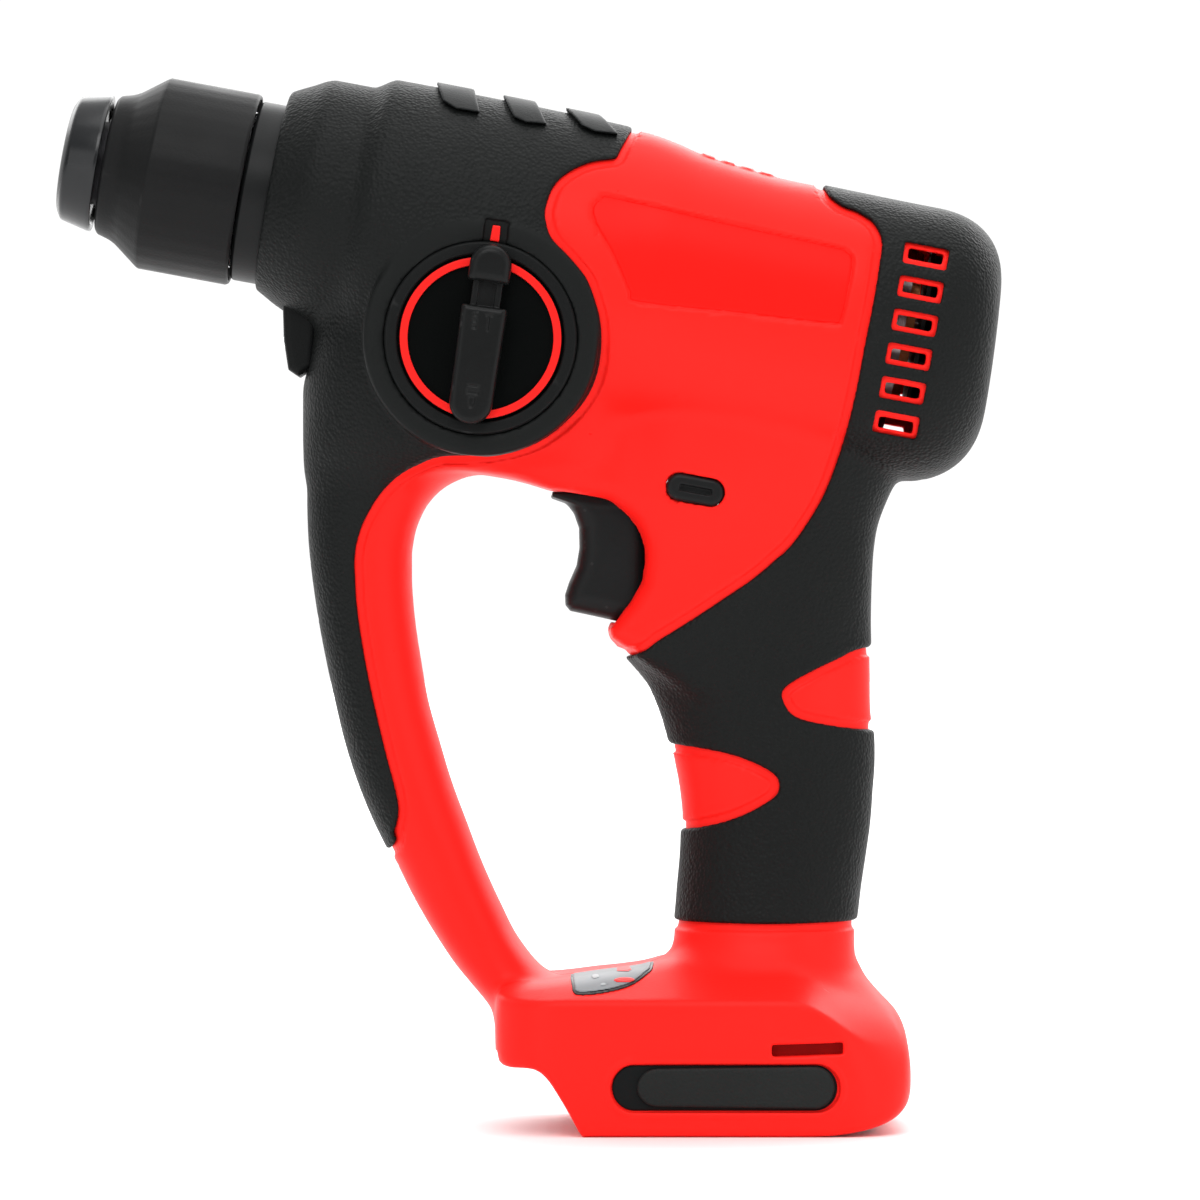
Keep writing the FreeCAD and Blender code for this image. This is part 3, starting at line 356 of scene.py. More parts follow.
# Level sections: height, front, rear, half width, squareness.
CHIN_ROWS = [
    (204.0, -105.0, -34.0, 28.0, 2.6), (196.0, -107.4, -32.0, 28.4, 2.7), (186.0, -108.3, -30.0, 28.0, 2.8),
    (178.0, -108.4, -29.0, 26.5, 2.8), (170.0, -108.4, -29.0, 23.5, 2.8), (163.6, -108.2, -30.0, 19.0, 2.7),
]
GUARD_ROWS = [
    (186.0, -108.4, -66.0, 19.0, 2.2), (172.0, -108.4, -66.0, 17.5, 2.2), (166.0, -108.3, -66.4, 16.4, 2.2),
    (163.0, -108.6, -69.6, 15.8, 2.2), (160.0, -108.8, -74.4, 15.2, 2.2), (156.0, -108.9, -78.6, 14.6, 2.1),
    (151.0, -108.8, -81.4, 14.0, 2.1), (144.0, -108.4, -83.1, 13.6, 2.1), (136.0, -107.5, -83.2, 13.4, 2.1),
    (126.0, -106.0, -82.4, 13.3, 2.1), (116.0, -104.1, -80.9, 13.3, 2.1), (106.0, -101.9, -79.1, 13.3, 2.1),
    (96.0, -99.5, -76.3, 13.3, 2.1), (86.0, -96.3, -73.3, 13.3, 2.1), (76.0, -92.2, -69.6, 13.4, 2.1),
    (66.0, -87.2, -65.8, 13.7, 2.1), (56.0, -82.2, -61.3, 14.2, 2.1), (46.0, -76.2, -56.0, 14.8, 2.2),
    (40.0, -72.1, -51.0, 15.8, 2.2), (36.0, -68.8, -46.0, 16.8, 2.3), (32.0, -65.4, -42.0, 18.2, 2.4),
    (28.4, -62.6, -40.0, 19.4, 2.5), (24.0, -61.4, -40.0, 20.0, 2.6),
]
GRIP_ROWS = [
    (186.0, -34.0, 47.8, 25.4, 2.4), (176.0, -34.0, 45.2, 24.0, 2.4), (168.0, -34.0, 41.2, 23.2, 2.5),
    (161.0, -34.4, 37.2, 22.2, 2.6), (156.0, -33.8, 34.8, 21.4, 2.7), (150.0, -29.0, 32.6, 20.4, 2.8),
    (144.0, -26.0, 31.6, 19.6, 2.8), (138.0, -26.0, 31.2, 19.0, 2.8), (132.0, -28.8, 31.0, 18.5, 2.7),
    (126.0, -32.6, 30.9, 18.1, 2.5), (121.0, -31.6, 31.0, 17.7, 2.3), (116.0, -27.9, 31.1, 17.4, 2.2),
    (111.0, -24.2, 31.2, 17.2, 2.15), (105.0, -21.4, 31.3, 17.1, 2.1), (98.0, -19.2, 31.8, 17.1, 2.1),
    (91.0, -17.6, 31.9, 17.2, 2.1), (84.0, -16.3, 31.4, 17.3, 2.1), (76.0, -15.6, 30.8, 17.5, 2.1),
    (68.0, -15.8, 29.7, 17.9, 2.15), (60.0, -16.5, 28.5, 18.3, 2.2), (54.0, -17.0, 27.8, 18.8, 2.2),
    (49.0, -17.6, 27.3, 19.4, 2.25), (46.0, -17.9, 27.3, 20.2, 2.3), (43.0, -18.9, 27.4, 21.6, 2.35),
    (40.0, -20.6, 27.6, 23.2, 2.4), (36.0, -24.0, 28.6, 25.0, 2.5), (30.0, -28.0, 30.0, 27.0, 2.6),
]
FOOT_SIDE = [
    (-62.6, 31.0), (-62.7, 25.0), (-62.4, 20.4), (-61.2, 17.6), (-58.6, 16.6), (-55.0, 16.6), (-51.9, 16.2),
    (-49.3, 14.2), (-47.0, 10.9), (-43.8, 5.6), (-40.6, 0.0), (-38.4, 0.0), (-10.0, 0.0), (16.0, 0.0), (24.0, 0.7),
    (30.0, 1.8), (35.2, 3.6), (38.8, 6.2), (40.7, 9.8), (41.0, 15.0), (40.7, 20.0), (39.8, 24.6), (37.4, 29.2),
    (33.4, 33.4), (29.6, 38.0), (27.8, 42.0), (24.0, 43.6), (0.0, 44.5), (-18.0, 42.5), (-26.0, 40.3), (-36.0, 39.0),
    (-46.0, 37.6), (-56.0, 37.0), (-61.0, 35.0),
]
CHEEK = [
    (-48.6, 158.6), (-43.7, 157.9), (-32.4, 156.0), (-28.0, 153.8), (-25.4, 150.4), (-24.2, 145.5), (-24.3, 141.2),
    (-25.0, 135.6), (-28.0, 130.6), (-32.0, 126.0), (-33.9, 123.9), (-33.4, 121.9), (-29.4, 119.0), (-24.0, 115.0),
    (-12.0, 108.0), (0.0, 108.0), (4.0, 140.0), (0.0, 180.0), (-30.0, 180.0), (-76.0, 176.0), (-82.0, 170.0),
    (-78.0, 166.4), (-70.0, 165.0), (-58.0, 161.6),
]
# Side-view outlines (x, z).
FRONT_REGION = [
    (-26.0, 262), (-27.6, 250.4), (-31.4, 241.6), (-32.2, 240.2), (-33.4, 239.7), (-38.4, 238.9), (-43.6, 236.5),
    (-47.2, 233.2), (-49.0, 229.2),
    (-49.6, 225.2), (-48.0, 219.8), (-43.4, 214.6), (-39.6, 210.0), (-37.6, 204.6), (-36.3, 199.8),
    (-36.0, 194.2), (-36.8, 187.4), (-39.4, 181.4), (-44.4, 175.6), (-50.5, 171.0), (-56.5, 168.6),
    (-65.7, 167.0), (-75.2, 166.6), (-80.6, 164.8), (-85.9, 162), (-90.7, 157.4), (-94.5, 151.1),
    (-96.3, 146.1), (-97.0, 141.2), (-96.6, 131.2), (-95.3, 121.3), (-93.5, 111.4), (-91.3, 101.5),
    (-88.9, 91.6), (-86.8, 83.6), (-86.2, 78.6), (-87.4, 73.6), (-90.5, 67.5), (-128, 40), (-150, 140), (-128, 275),
]
REAR_EDGE = [
    (17.0, 262), (19.0, 235.5), (22.2, 229.2), (27.2, 226.8), (31, 224.0), (32.9, 219.6), (32.4, 214.7),
    (30.8, 205.0), (28.8, 195.1), (27.0, 185.2), (24.9, 175.4), (22.2, 165.6), (18.2, 155.8), (11.9, 146),
    (6.8, 141.0), (1, 136.2), (-6.4, 131.2), (-13.8, 126.3), (-21.7, 121.4), (-28.1, 117.6), (-50, 112.0),
    (-60, 80.0), (-50, 51.4), (-16.8, 51.4), (5, 51.0), (27, 51.4), (60, 52), (100, 60), (100, 262),
]
REAR_NOTCH = [(60, 122), (31.5, 119.6), (22.3, 116.3), (13.4, 112.0), (9.2, 109.0), (9.3, 106.0), (12.2, 102.4),
              (20, 100.4), (31.5, 99.0), (60, 97)]
FRONT_NOTCH = [(-42, 98.0), (-18.1, 95.3), (-6.5, 93.5), (0.5, 91.4), (6.4, 88.4), (8.0, 85.6), (6.4, 82.2),
               (-2.8, 77.3), (-15.2, 74.3), (-42, 71.0)]
SIDE_PANEL = [
    (-38.4, 227.8), (-36.2, 230.3), (-33.4, 230.7), (-6.4, 224.5), (20.4, 218.6), (24.6, 217.2), (26.2, 214.4),
    (24.8, 206.2), (23.2, 199.8), (20.9, 198.7), (-2.0, 201.2), (-27.0, 203.8), (-29.4, 206.6), (-31.6, 212.0),
    (-34.4, 217.6), (-37.8, 223.6),
]
TRIGGER_OUTLINE = [
    (-48.1, 158.2), (-48.1, 156.9), (-44.9, 155.7), (-42.8, 152.9), (-41.5, 149.2), (-41.4, 144.2), (-42.1, 139.9),
    (-44.0, 135.6), (-45.0, 132.5), (-44.9, 130.0), (-43.7, 128.5), (-37.5, 127.2), (-32.2, 126.0), (-28.4, 125.9),
    (-24.2, 130.0), (-24.0, 153.0), (-27.0, 158.2),
]
TRIGGER_LIP = [(-48.1, 158.2), (-48.1, 157.0), (-44.5, 155.8), (-38.0, 154.8), (-29.0, 154.8), (-29.0, 158.2)]
PANEL = [(-43.4, 46.0), (-43.6, 40.6), (-42.9, 36.8), (-41.7, 34.9), (-35.0, 35.4), (-28.8, 36.9), (-25.0, 39.2),
         (-23.4, 40.9), (-24.0, 46.0)]
PADS = [
    [(-77.4, 266), (-77.0, 260.2), (-75.0, 254.6), (-72.0, 252.6), (-65.9, 251.6), (-67.6, 258.6), (-67.6, 266)],
    [(-61.4, 266), (-60.6, 257.4), (-57.6, 250.6), (-54.6, 249.2), (-49.4, 248.8), (-52.2, 255.4), (-52.6, 266)],
    [(-46.2, 266), (-45.2, 254.4), (-40.8, 248.6), (-37.6, 247.0), (-31.6, 246.4), (-36.2, 252.2), (-37.6, 266)],
]
VENT_X, VENT_Z = 43.8, 215.7
VENT_DX, VENT_DZ = -1.46, -8.26
BUTTON_X, BUTTON_Z = -12.7, 158.5

# Depths and radii, in millimetres.
SKIN_PROUD, SKIN_DEEP = 0.55, 0.85    # the overmould's outer and inner face from the form's surface
WALL = 2.7                            # thickness of the red shell
FLOOR_TOP = 22.6                      # the shell is solid below this height
SEAM = 0.03                           # each half stops this far from the middle plane
VENT_FACE = 0.75                      # the vent frames sit this far below the form's surface
TRIGGER_HALF = 9.95                   # half width of the trigger's opening
COLLAR_BORE, COLLAR_END = 22.7, 57.0  # seat of the front collar, and where it ends along the barrel
CHANNEL_HALF, GROOVE_HALF = 27.0, 31.0
CHANNEL_TOP, CHANNEL_REAR = 20.0, 31.0
SEAT_R, RECESS_R, SEAT_OUT = 28.9, 23.68, 34.3
RECESS_FLOOR, SHAFT_HOLE_R = 33.0, 4.3
WELL_R, WELL_FLOOR, SCREW_BOSS_R = 3.7, 7.0, 4.8


def barrel_form():
    low, high, half, power = curve_rows(BARREL_ROWS, S2)
    i0 = int((-122.0 - LOW[0]) / STEP)
    k0 = int((148.0 - LOW[2]) / STEP)
    part = (slice(max(i0, 0), None), slice(k0, None))
    low, high, half, power = (v[part] for v in (low, high, half, power))
    along = flat(N2[part] - (low + high) / 2)
    field = oval_field(along, Y1[None, :, None] + 0 * along, flat((high - low) / 2), flat(half), flat(power))
    station = flat(S2[part])
    # The motor end is a soft dome; the front is a flat face with a small rounding.
    dome = station - 236.2 + 0.045 * along + 0.0014 * (along + 2.0) ** 2 + 0.0022 * (Y1[None, :, None]) ** 2
    field = soft_max(field, dome, 16.0)
    field = soft_max(field, 53.1 - station, 0.5)
    return (part[0], slice(None), part[1]), field.astype(np.float32)


def rounded_plan(x, y, x_front, x_rear, half_y, front_r, rear_r):
    """Distance to a box seen from above, with its own corner radius at each end."""
    middle, half_x = (x_front + x_rear) / 2, (x_rear - x_front) / 2
    corner = np.where(x < middle, front_r, rear_r)
    qx = np.abs(x - middle) - half_x + corner
    qy = y - half_y + corner
    return np.sqrt(np.maximum(qx, 0) ** 2 + np.maximum(qy, 0) ** 2) + np.minimum(np.maximum(qx, qy), 0) - corner


def foot_form():
    """The battery foot: upright walls with a rounded nose under a sloping roof."""
    k1 = int((62.0 - LOW[2]) / STEP)
    x = xs[:, None, None]
    y = Y1[None, :, None]
    z = zs[None, None, :k1]
    draft = 0.018 * z
    walls = rounded_plan(x, y + draft, -62.9, 41.2, 39.4, 17.0, 19.0)
    crease = 32.8 - 11.0 * ramp(x, 9.0, 37.0) - 0.010 * np.maximum(-x - 44.0, 0) ** 2
    roof = (z - crease - 0.42 * (39.3 - y)) * 0.92
    fading = ramp(x, 14.0, 38.0)
    side = outline_distance(X2[:, :k1], Z2[:, :k1], smooth_outline(FOOT_SIDE, 3))
    block = soft_max(walls, roof, 1.3) * (1 - fading) + soft_max(walls, roof, 14.0) * fading
    block = soft_max(block, side[:, None, :], 2.4)
    return (slice(None), slice(None), slice(0, k1)), block.astype(np.float32)


form = np.full(tuple(COUNT), 40.0, dtype=np.float32)
join(form, barrel_form(), 1.0)
join(form, level_form(CHIN_ROWS), 5.0)
join(form, level_form(GUARD_ROWS), 6.0)
join(form, level_form(GRIP_ROWS), 2.6)
cheek = soft_max(flat(outline_distance(X2, Z2, np.array(CHEEK))), Y1[None, :, None] - 16.2, 5.0)
form = soft_min(form, cheek, 4.0)
join(form, foot_form(), 2.8)
D = true_distance(form)
del form

front_q = outline_distance(X2, Z2, smooth_outline(FRONT_REGION, 4))
rear_q = outline_distance(X2, Z2, smooth_outline(REAR_EDGE, 4))
notch_q = np.minimum(outline_distance(X2, Z2, smooth_outline(REAR_NOTCH, 4)),
                     outline_distance(X2, Z2, smooth_outline(FRONT_NOTCH, 4)))
rear_q = np.maximum(rear_q, -notch_q)
panel_q = outline_distance(X2, Z2, smooth_outline(SIDE_PANEL, 4))
black_q = np.minimum(front_q, rear_q)


def slope_coordinates(centre_x, centre_z):
    """Side-view coordinates along and across the barrel's slope, about a point."""
    dx, dz = X2 - centre_x, Z2 - centre_z
    return dx * COS - dz * SIN, dx * SIN + dz * COS


def rounded_box(along, across, half_along, half_across, radius):
    qa = np.abs(along) - half_along + radius
    qb = np.abs(across) - half_across + radius
    return (np.sqrt(np.maximum(qa, 0) ** 2 + np.maximum(qb, 0) ** 2)
            + np.minimum(np.maximum(qa, qb), 0) - radius).astype(np.float32)


window_q = np.full(X2.shape, 99.0, dtype=np.float32)
slot_q = window_q.copy()
for k in range(6):
    a, c = slope_coordinates(VENT_X + VENT_DX * k, VENT_Z + VENT_DZ * k)
    window_q = np.minimum(window_q, rounded_box(a, c, 5.5, 2.65, 0.5))
    slot_q = np.minimum(slot_q, rounded_box(a, c, 4.3, 1.35, 0.2))
a, c = slope_coordinates(BUTTON_X, BUTTON_Z)
button_q = rounded_box(a, c, 7.35, 3.5, 3.5)
dial_r = np.sqrt((X2 - DIAL_X) ** 2 + (Z2 - DIAL_Z) ** 2)
trigger_q = np.minimum.reduce([
    outline_distance(X2 - move, Z2, np.array(TRIGGER_OUTLINE)) - 0.45 for move in (0.0, 3.5, 7.0)])
trigger_q = np.maximum(trigger_q, X2 + 17.6)
rib_q = np.minimum.reduce([
    rounded_box(S2 - (158.0 + 5.0 * k), N2 - 30.0, 1.5, 6.0, 1.0) for k in range(4)])

SCREWS = [(-93.5, 118.0), (-70.0, 56.0), (6.0, 88.0), (45.0, 168.0)]
screw_r = np.minimum.reduce([np.sqrt((X2 - x) ** 2 + (Z2 - z) ** 2) for x, z in SCREWS]).astype(np.float32)

Y3 = ys[None, :, None]
TUBE = np.sqrt(flat(N2) ** 2 + Y3**2)


def inside_width(half):
    """Negative within half of the middle plane."""
    return np.abs(Y3) - half


def screw_wells(field):
    """Round wells down to the housing screws, which go in from the right."""
    return np.maximum(field, -np.maximum(flat(screw_r) - WELL_R, WELL_FLOOR - np.abs(Y3)))


def cut_openings(field):
    """Trigger opening, push bar hole and collar seat, which go through shell and overmould alike."""
    field = np.maximum(field, -np.maximum(flat(trigger_q), inside_width(TRIGGER_HALF)))
    field = np.maximum(field, -np.maximum(flat(button_q), 0 * Y3 - 1))
    return np.maximum(field, -np.maximum(TUBE - COLLAR_BORE, flat(S2) - COLLAR_END))


def foot_details(field, side):
    """Pad recess, slot, battery channel and rails cut from the foot."""
    reach = np.abs(Y3)
    pad = rounded_box(X2 + 5.6, Z2 - 12.0, 28.0, 5.9, 5.9)
    # A low lip runs round the recess.
    field = soft_min(field, np.maximum(np.maximum(flat(pad) - 1.5, field - 0.32), 36.0 - reach), 0.35)
    field = soft_max(field, -np.maximum(flat(pad), 37.8 - reach), 0.5)
    if side < 0:
        slit = rounded_box(X2 - 14.4, Z2 - 21.4 - 0.035 * (X2 - 14.4), 8.7, 1.45, 0.25)
        field = np.maximum(field, -np.maximum(flat(slit), 34.0 - reach))
    channel = np.maximum(np.maximum(reach - CHANNEL_HALF, flat(Z2) - CHANNEL_TOP), flat(X2) - CHANNEL_REAR)
    groove = np.maximum(np.maximum(reach - GROOVE_HALF, np.abs(flat(Z2) - 12.2) - 4.2), flat(X2) - CHANNEL_REAR)
    return np.maximum(field, -np.minimum(channel, groove))


def red_half(side):
    """One red half of the housing; side is -1 for the left."""
    edge = ramp(black_q, -0.25, 0.15)
    sunk = 0.9 * (1 - edge) + 0.75 * (edge - ramp(black_q, 1.7, 2.2))
    sunk = sunk + (0.75 * (1 - ramp(panel_q, -0.35, 0.1)) + 0.25 * (1 - ramp(np.abs(panel_q + 0.5), 0.1, 0.6))) * (
        1 - ramp(sunk, 0.05, 0.5))
    sunk = np.where(window_q < 0.4, VENT_FACE, sunk).astype(np.float32)
    outer = D + flat(sunk)
    bumps = np.maximum(flat(rib_q), np.abs(Y3) - 11.0)
    outer = soft_min(outer, np.maximum(bumps, D - 0.45), 0.6)
    outer = foot_details(outer, side)
    core = np.maximum(D + WALL, FLOOR_TOP - flat(Z2))
    if side > 0:
        core = np.maximum(core, SCREW_BOSS_R - flat(screw_r))
    field = np.maximum(outer, -core)
    field = np.maximum(field, -np.maximum(flat(slot_q), 15.0 - np.abs(Y3)))
    field = cut_openings(field)
    if side < 0:
        field = np.maximum(field, -np.maximum(flat(dial_r) - 28.4, 20.0 - np.abs(Y3)))
    else:
        field = screw_wells(field)
    # The two halves meet at a fine chamfered seam.
    field = soft_max(field, Y3 + SEAM, 0.5)
    return field


def black_skin(region, side):
    """Soft overmould: a skin over the form, inside a side-view region."""
    field = soft_max(D - SKIN_PROUD, flat(region) + 0.05, 1.1)
    return np.maximum(field, -(D + SKIN_DEEP))


def finish_skin(field):
    """Cuts the vents and openings from an overmould skin and stops it at the seam."""
    field = np.maximum(field, -np.maximum(flat(window_q), 10.0 - np.abs(Y3)))
    return soft_max(cut_openings(field), Y3 + SEAM, 0.4)


def dial_boss():
    """The raised round seat that the mode dial sits on."""
    disc = flat(dial_r)
    outer = soft_max(disc - SEAT_R, -Y3 - SEAT_OUT, 1.8)
    return np.maximum(outer, Y3 + 24.0)


def dial_recess(field):
    """Cuts the dial's recess, its shaft hole and the pointer's notch."""
    disc = flat(dial_r)
    field = soft_max(field, -np.maximum(disc - RECESS_R, Y3 + RECESS_FLOOR), 0.3)
    across = (X2 - DIAL_X) * math.cos(LEAN) - (Z2 - DIAL_Z) * math.sin(LEAN)
    up = (X2 - DIAL_X) * math.sin(LEAN) + (Z2 - DIAL_Z) * math.cos(LEAN)
    notch = rounded_box(across, up - 25.5, 3.0, 3.7, 0.3)
    field = np.maximum(field, -np.maximum(flat(notch), Y3 + 33.3))
    return np.maximum(field, SHAFT_HOLE_R - disc)


# ------------------------------------------------------------------ materials

def new_material(name):
    material = bpy.data.materials.new(name)
    material.use_nodes = True
    return material, material.node_tree.nodes, material.node_tree.links


def grained(name, colour, rough, scale, depth, kind="noise", tint=0.12, spread=0.08, coat=0.0, metal=0.0,
            wear=0.0, specular=0.5, disc=None):
    """A moulded or machined surface: colour drift, uneven roughness and a fine relief."""
    material, nodes, links = new_material(name)

    def add(kind, **values):
        node = nodes.new("ShaderNode" + kind)
        if kind == "Mix":
            node.data_type = "RGBA"
        for key, value in values.items():
            node.inputs[key.replace("_", " ")].default_value = value
        return node

    shader = nodes["Principled BSDF"]
    for key, value in (("Metallic", metal), ("Specular IOR Level", specular), ("Coat Weight", coat),
                       ("Coat Roughness", 0.15)):
        shader.inputs[key].default_value = value
    where = nodes.new("ShaderNodeTexCoord")
    drift = add("TexNoise", Scale=18.0, Detail=4.0)
    links.new(where.outputs["Object"], drift.inputs["Vector"])
    mix = add("Mix", A=(*[c * (1 - tint) for c in colour], 1), B=(*[min(1, c * (1 + tint)) for c in colour], 1))
    links.new(drift.outputs["Fac"], mix.inputs["Factor"])
    colour_out = mix.outputs["Result"]
    if wear > 0:
        geometry = nodes.new("ShaderNodeNewGeometry")
        edge = add("MapRange", From_Min=0.515, From_Max=0.6)
        links.new(geometry.outputs["Pointiness"], edge.inputs["Value"])
        scratch = add("TexNoise", Scale=260.0)
        links.new(where.outputs["Object"], scratch.inputs["Vector"])
        patch = nodes.new("ShaderNodeMath")
        patch.operation = "MULTIPLY"
        links.new(edge.outputs["Result"], patch.inputs[0])
        links.new(scratch.outputs["Fac"], patch.inputs[1])
        worn = add("Mix", B=(*[min(1, c + wear) for c in colour], 1))
        links.new(patch.outputs["Value"], worn.inputs["Factor"])
        links.new(colour_out, worn.inputs["A"])
        colour_out = worn.outputs["Result"]
    links.new(colour_out, shader.inputs["Base Color"])
    ramp_rough = add("MapRange", To_Min=max(0.02, rough - spread), To_Max=min(1.0, rough + spread))
    fine = add("TexNoise", Scale=90.0, Detail=5.0)
    links.new(where.outputs["Object"], fine.inputs["Vector"])
    links.new(fine.outputs["Fac"], ramp_rough.inputs["Value"])
    links.new(ramp_rough.outputs["Result"], shader.inputs["Roughness"])
    if kind == "cells":
        relief = add("TexVoronoi")
        relief.feature = "SMOOTH_F1"
        relief.inputs["Smoothness"].default_value = 0.6
        height = relief.outputs["Distance"]
    elif kind == "lines":
        relief = add("TexWave", Distortion=2.0, Detail=3.0)
        relief.bands_direction = "X"
        height = relief.outputs["Fac"]
    else:
        relief = add("TexNoise", Detail=3.0)
        height = relief.outputs["Fac"]
    relief.inputs["Scale"].default_value = scale
    links.new(where.outputs["Object"], relief.inputs["Vector"])
    bump = add("Bump", Strength=depth, Distance=0.0004)
    links.new(height, bump.inputs["Height"])
    if disc is not None:
        # The round seat of the dial is smooth; the grain starts outside it.
        split_at = nodes.new("ShaderNodeSeparateXYZ")
        links.new(where.outputs["Object"], split_at.inputs["Vector"])
        flat_point = nodes.new("ShaderNodeCombineXYZ")
        links.new(split_at.outputs["X"], flat_point.inputs["X"])
        links.new(split_at.outputs["Z"], flat_point.inputs["Z"])
        away = nodes.new("ShaderNodeVectorMath")
        away.operation = "DISTANCE"
        away.inputs[1].default_value = (disc[0], 0.0, disc[1])
        links.new(flat_point.outputs["Vector"], away.inputs[0])
        edge_fade = add("MapRange", From_Min=disc[2], From_Max=disc[2] + 0.0012, To_Min=0.08, To_Max=depth)
        links.new(away.outputs["Value"], edge_fade.inputs["Value"])
        links.new(edge_fade.outputs["Result"], bump.inputs["Strength"])
    links.new(bump.outputs["Normal"], shader.inputs["Normal"])
    return material


RED = grained("red_abs", (0.93, 0.0145, 0.0105), 0.40, 1500.0, 0.08, spread=0.05, tint=0.02, wear=0.01, specular=0.09)
RED_SMOOTH = grained("red_abs_panel", (0.93, 0.0085, 0.0060), 0.36, 1500.0, 0.04, spread=0.04, tint=0.02,
                     specular=0.07)
TPE = grained("black_tpe", (0.0056, 0.0064, 0.0062), 0.5, 1150.0, 0.7, kind="cells", tint=0.25, spread=0.07,
              specular=0.12, disc=(DIAL_X * 0.001, DIAL_Z * 0.001, 0.0287))
TPE_FINE = grained("black_tpe_plate", (0.0085, 0.0095, 0.0095), 0.5, 1500.0, 0.2, tint=0.2, specular=0.12)
SATIN = grained("satin_black", (0.0062, 0.0068, 0.0070), 0.40, 1400.0, 0.08, tint=0.2, wear=0.02, specular=0.15)
SLEEVE = grained("sleeve_black", (0.0062, 0.0064, 0.0066), 0.44, 1300.0, 0.14, tint=0.2, wear=0.01, specular=0.13)
CAP_RUBBER = grained("cap_rubber", (0.0050, 0.0058, 0.0068), 0.24, 1400.0, 0.05, tint=0.2, specular=0.40)
LEVER_BLACK = grained("lever_black", (0.0056, 0.0060, 0.0060), 0.34, 1700.0, 0.12, tint=0.25, wear=0.02,
                      specular=0.14)
DIAL_BLACK = grained("dial_black", (0.0012, 0.0016, 0.0015), 0.5, 1500.0, 0.06, tint=0.3, specular=0.03)
PAD_RUBBER = grained("pad_rubber", (0.013, 0.0145, 0.014), 0.55, 1300.0, 0.4, kind="cells", tint=0.3, wear=0.02,
                     specular=0.12)
GLOSS = grained("gloss_black", (0.006, 0.006, 0.007), 0.28, 1100.0, 0.06, tint=0.15, spread=0.06, specular=0.2)
MATT = grained("matt_black", (0.0050, 0.0055, 0.0055), 0.46, 1600.0, 0.12, tint=0.2, wear=0.02, specular=0.10)
# Dark steel: on the spindle it paints the shade in the gap behind the dust cap; the housing screws share it.
DARK_STEEL_PAINTED_SHADE = grained("dark_steel_painted_shade", (0.030, 0.030, 0.032), 0.42, 900.0, 0.10, kind="lines", metal=1.0)
STEEL = grained("ground_steel", (0.42, 0.42, 0.43), 0.32, 700.0, 0.12, kind="lines", metal=1.0)
BRIGHT = grained("bright_steel", (0.62, 0.62, 0.63), 0.18, 900.0, 0.03, metal=1.0, spread=0.05)
ALLOY = grained("cast_alloy", (0.5, 0.5, 0.51), 0.45, 600.0, 0.3, metal=1.0)
COPPER = grained("enamelled_copper", (0.55, 0.22, 0.09), 0.35, 1200.0, 0.5, kind="lines", metal=0.9)
BRASS = grained("contact_brass", (0.7, 0.5, 0.2), 0.28, 900.0, 0.05, metal=1.0)
SEAL = grained("seal_rubber", (0.012, 0.012, 0.012), 0.6, 1200.0, 0.2, specular=0.12)
SILVER = grained("silver_label", (0.155, 0.178, 0.190), 0.40, 900.0, 0.04, tint=0.05)
BED_RUBBER = grained("bed_rubber", (0.0048, 0.0060, 0.0062), 0.55, 900.0, 0.10, tint=0.05, specular=0.1)
# Darkened red: painted shade for the back of the foot's slot.
RED_PAINTED_SHADE = grained("red_painted_shade", (0.26, 0.004, 0.003), 0.5, 1500.0, 0.05, tint=0.03, specular=0.05)
RED_INLAY = grained("red_inlay", (0.86, 0.012, 0.009), 0.36, 1500.0, 0.05, tint=0.03, specular=0.16)
PALE = grained("pale_print", (0.30, 0.33, 0.34), 0.4, 900.0, 0.03, tint=0.05)
LENS, nodes, links = new_material("clear_lens")
nodes["Principled BSDF"].inputs["Transmission Weight"].default_value = 0.9
nodes["Principled BSDF"].inputs["Roughness"].default_value = 0.08
nodes["Principled BSDF"].inputs["Base Color"].default_value = (0.9, 0.94, 1.0, 1)

# ------------------------------------------------------------------ housing pieces

for side, name in ((-1, "left"), (1, "right")):
    mirror = side > 0
    mesh = mesh_from_field(name + "_shell", red_half(side), LOW, STEP, mirror, 0.008)
    add_object(name + "_red_shell", mesh, "housing", "red_abs", RED, name + "_housing")
    front = black_skin(front_q, side)
    replaced = [name + "_front_overmould"]
    if side < 0:
        front = dial_recess(soft_min(front, dial_boss(), 1.5))
        replaced.append("dial_seat")
    rear = black_skin(rear_q, side)
    if side > 0:
        front, rear = screw_wells(front), screw_wells(rear)
    mesh = mesh_from_field(name + "_front", finish_skin(front), LOW, STEP, mirror, 0.008)
    add_object(name + "_front_grip_skin", mesh, "housing", "black_tpe", TPE, *replaced)
    mesh = mesh_from_field(name + "_rear", finish_skin(rear), LOW, STEP, mirror, 0.008)
    add_object(name + "_rear_grip_skin", mesh, "housing", "black_tpe", TPE, name + "_rear_overmould")

# Raised grip plates across the top of the front housing.
block = Block((-80.0, -27.0, 243.0), (-29.0, 27.0, 264.0), 0.3)
skin = block.distance()
for k, corners in enumerate(PADS):
    plan = outline_distance(block.x2, block.z2, np.array(corners))[:, None, :]
    plate = soft_max(soft_max(skin - 1.8, plan, 0.5), 0.2 - skin, 0.2)
    add_object(f"raised_plate_{k + 1}", block.mesh(f"plate_{k + 1}", plate), "housing", "black_tpe", TPE_FINE)

